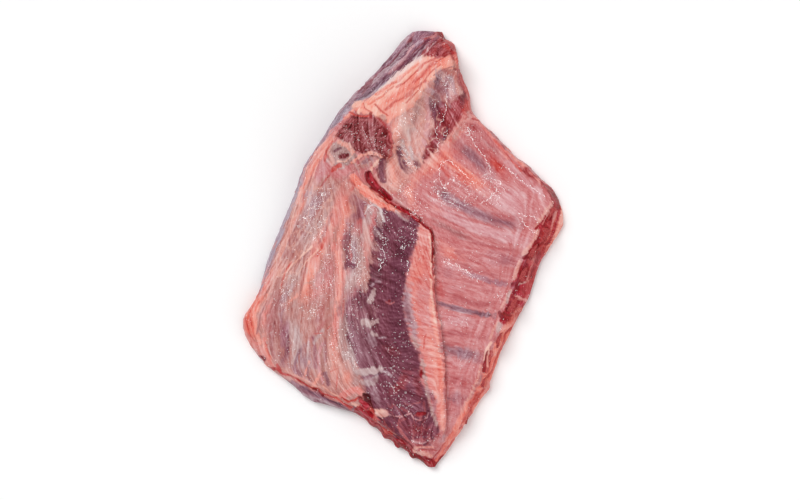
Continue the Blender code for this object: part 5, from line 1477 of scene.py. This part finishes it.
# Places for the loose ice, as pixels: along curls where the frost is thick, and along the threads.
def crystalPlaces(rng, x, y, chance):
    places = []
    picked = rng.choice(len(x), crystals["loose"] * crystals["tries"], p=chance / chance.sum())
    stray = crystals["stray"]
    atX = x[picked] + rng.uniform(-stray, stray, len(picked))
    atY = y[picked] + rng.uniform(-stray, stray, len(picked))
    onCurl = np.abs(layeredGrain(atX, atY, crystals["curl"], 91, 2)) < crystals["curlLine"]
    single = rng.uniform(0, 1, len(picked)) < crystals["single"]
    keep = np.nonzero(onCurl | single)[0][:crystals["loose"]]
    places.extend(zip(atX[keep], atY[keep]))
    (height, pace), (lowHeight, lowPace) = crystals["threadWaves"]
    for line in frostThreads.values():
        for (ax, ay), (bx, by) in zip(line, line[1:]):
            length = math.hypot(bx - ax, by - ay)
            for speck in range(int(length * crystals["perThreadPixel"])):
                share = rng.uniform(0, 1)
                swing = height * math.sin(share * length * pace + ax)
                swing += lowHeight * math.sin(share * length * lowPace)
                swing += rng.normal(0, crystals["threadStray"])
                places.append((ax + share * (bx - ax) + swing * (by - ay) / length,
                               ay + share * (by - ay) - swing * (bx - ax) / length))
    return places


# Loose ice crystals: small crooked double pyramids that lie on the meat, partly frost and partly white
# stand-ins for glints.
def makeCrystals(breastPiece):
    rng = np.random.default_rng(crystals["seed"])
    mesh = breastPiece.data
    tree = BVHTree.FromPolygons([v.co for v in mesh.vertices], [p.vertices for p in mesh.polygons])
    frost = np.empty(len(mesh.vertices), np.float32)
    mesh.attributes["frost"].data.foreach_get("value", frost)
    x, y = toPixels(pointsOf(mesh))
    chance = frost ** 1.5 * (normalsOf(mesh)[:, 2] > 0.5)
    corners = np.array([(1, 0, 0), (0, 1, 0), (-1, 0, 0), (0, -1, 0), (0, 0, 1), (0, 0, -1)], float)
    faces = [(0, 1, 4), (1, 2, 4), (2, 3, 4), (3, 0, 4), (1, 0, 5), (2, 1, 5), (3, 2, 5), (0, 3, 5)]
    smallest, largest = crystals["size"]
    allPoints, allFaces = [], []
    for px, py in crystalPlaces(rng, x, y, chance):
        start = Vector((*toFrame(px, py), crystals["above"]))
        hit = tree.ray_cast(start, Vector((0, 0, -1)))[0]
        if hit is None or hit.z < crystals["lowest"]:
            continue
        size = smallest + rng.beta(*crystals["sizeSpread"]) * (largest - smallest)
        turn = rng.uniform(0, math.pi)
        shape = corners * size * rng.uniform(*crystals["crooked"], (6, 1))
        turned = np.column_stack([shape[:, 0] * math.cos(turn) - shape[:, 1] * math.sin(turn),
                                  shape[:, 0] * math.sin(turn) + shape[:, 1] * math.cos(turn), shape[:, 2]])
        base = len(allPoints)
        placed = turned + np.array(hit) + np.array([0, 0, size * crystals["stand"]])
        allPoints.extend(np.clip(placed, np.array(cadLow), np.array(cadHigh)).tolist())
        allFaces.extend(tuple(base + i for i in face) for face in faces)
    made = bpy.data.meshes.new("frostCrystals")
    made.from_pydata(allPoints, [], allFaces)
    piece = bpy.data.objects.new("frostCrystals", made)
    bpy.context.scene.collection.objects.link(piece)
    made.materials.append(makeGlowingIceMaterial())
    return piece


studio = {
    "cameraHeight": 2.0,
    "focusHeight": 0.022,    # the height at which a photograph's pixel is 0.8 mm
    "sensor": 36, "clip": (0.05, 20),
    "worldLight": 0.34,
    "keyFrom": (-0.5, 0.55, 1.05), "keyPower": 1.78, "keySpread": 36,
    "fillFrom": (0.8, -0.5, 0.8), "fillPower": 1.1, "fillSpread": 80,
    "floorSize": 6, "floorDrop": 0.0002,
    "floor": {"Base Color": (1.0, 1.0, 1.0, 1), "Roughness": 0.9, "Specular IOR Level": 0.0},
}


def addSun(name):
    light = bpy.data.lights.new(name, "SUN")
    light.energy, light.angle = studio[name + "Power"], math.radians(studio[name + "Spread"])
    sun = bpy.data.objects.new(name, light)
    bpy.context.scene.collection.objects.link(sun)
    sun.rotation_euler = (-Vector(studio[name + "From"])).to_track_quat("-Z", "Y").to_euler()


def makeStudio():
    scene = bpy.context.scene
    bpy.ops.mesh.primitive_plane_add(size=studio["floorSize"], location=(0, 0, -studio["floorDrop"]))
    floor = bpy.context.object
    floor.name = "floor"
    floor.data.materials.append(startMaterial("paleFloor", studio["floor"])[0])
    data = bpy.data.cameras.new("camera")
    camera = bpy.data.objects.new("camera", data)
    scene.collection.objects.link(camera)
    scene.camera = camera
    width, height = photo["size"]
    camera.location = (*toFrame(width / 2, height / 2), studio["cameraHeight"])
    data.sensor_width = studio["sensor"]
    data.lens = studio["sensor"] * (studio["cameraHeight"] - studio["focusHeight"]) / (width * photo["pixel"])
    data.clip_start, data.clip_end = studio["clip"]
    addSun("key")
    addSun("fill")
    world = bpy.data.worlds.new("world")
    scene.world = world
    world.use_nodes = True
    background = world.node_tree.nodes["Background"].inputs
    background["Color"].default_value = (1, 1, 1, 1)
    background["Strength"].default_value = studio["worldLight"]
    scene.view_settings.view_transform = "Standard"


makeStudio()
print("studio ready")
lambBreast = makeBreast()
print("slab remeshed:", len(lambBreast.data.polygons), "faces")
closeUnderside(lambBreast)
sculptBreast(lambBreast)
print("meat sculpted and painted:", len(lambBreast.data.polygons), "faces")
wetGrain, meatStrands, frostAndGlintSpecks = makeGrainGroup(), makeStrandGroup(), makeFrostAndGlintGroup()
lambBreast.data.materials.append(makeMeatMaterial(wetGrain, meatStrands, frostAndGlintSpecks))
lambBreast.data.materials.append(makeOuterMaterial(wetGrain))
selectOnly(lambBreast)
bpy.ops.object.shade_smooth()
frostCrystals = makeCrystals(lambBreast)
partMeat(lambBreast)
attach(frostCrystals, "root")
print("frost laid:", len(frostCrystals.data.polygons), "faces")
sawnBone = makeBoneMaterial(wetGrain)
for name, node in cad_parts.items():
    if name.startswith("rib_bone"):
        node.data.materials.clear()
        node.data.materials.append(sawnBone)
print("bones finished")
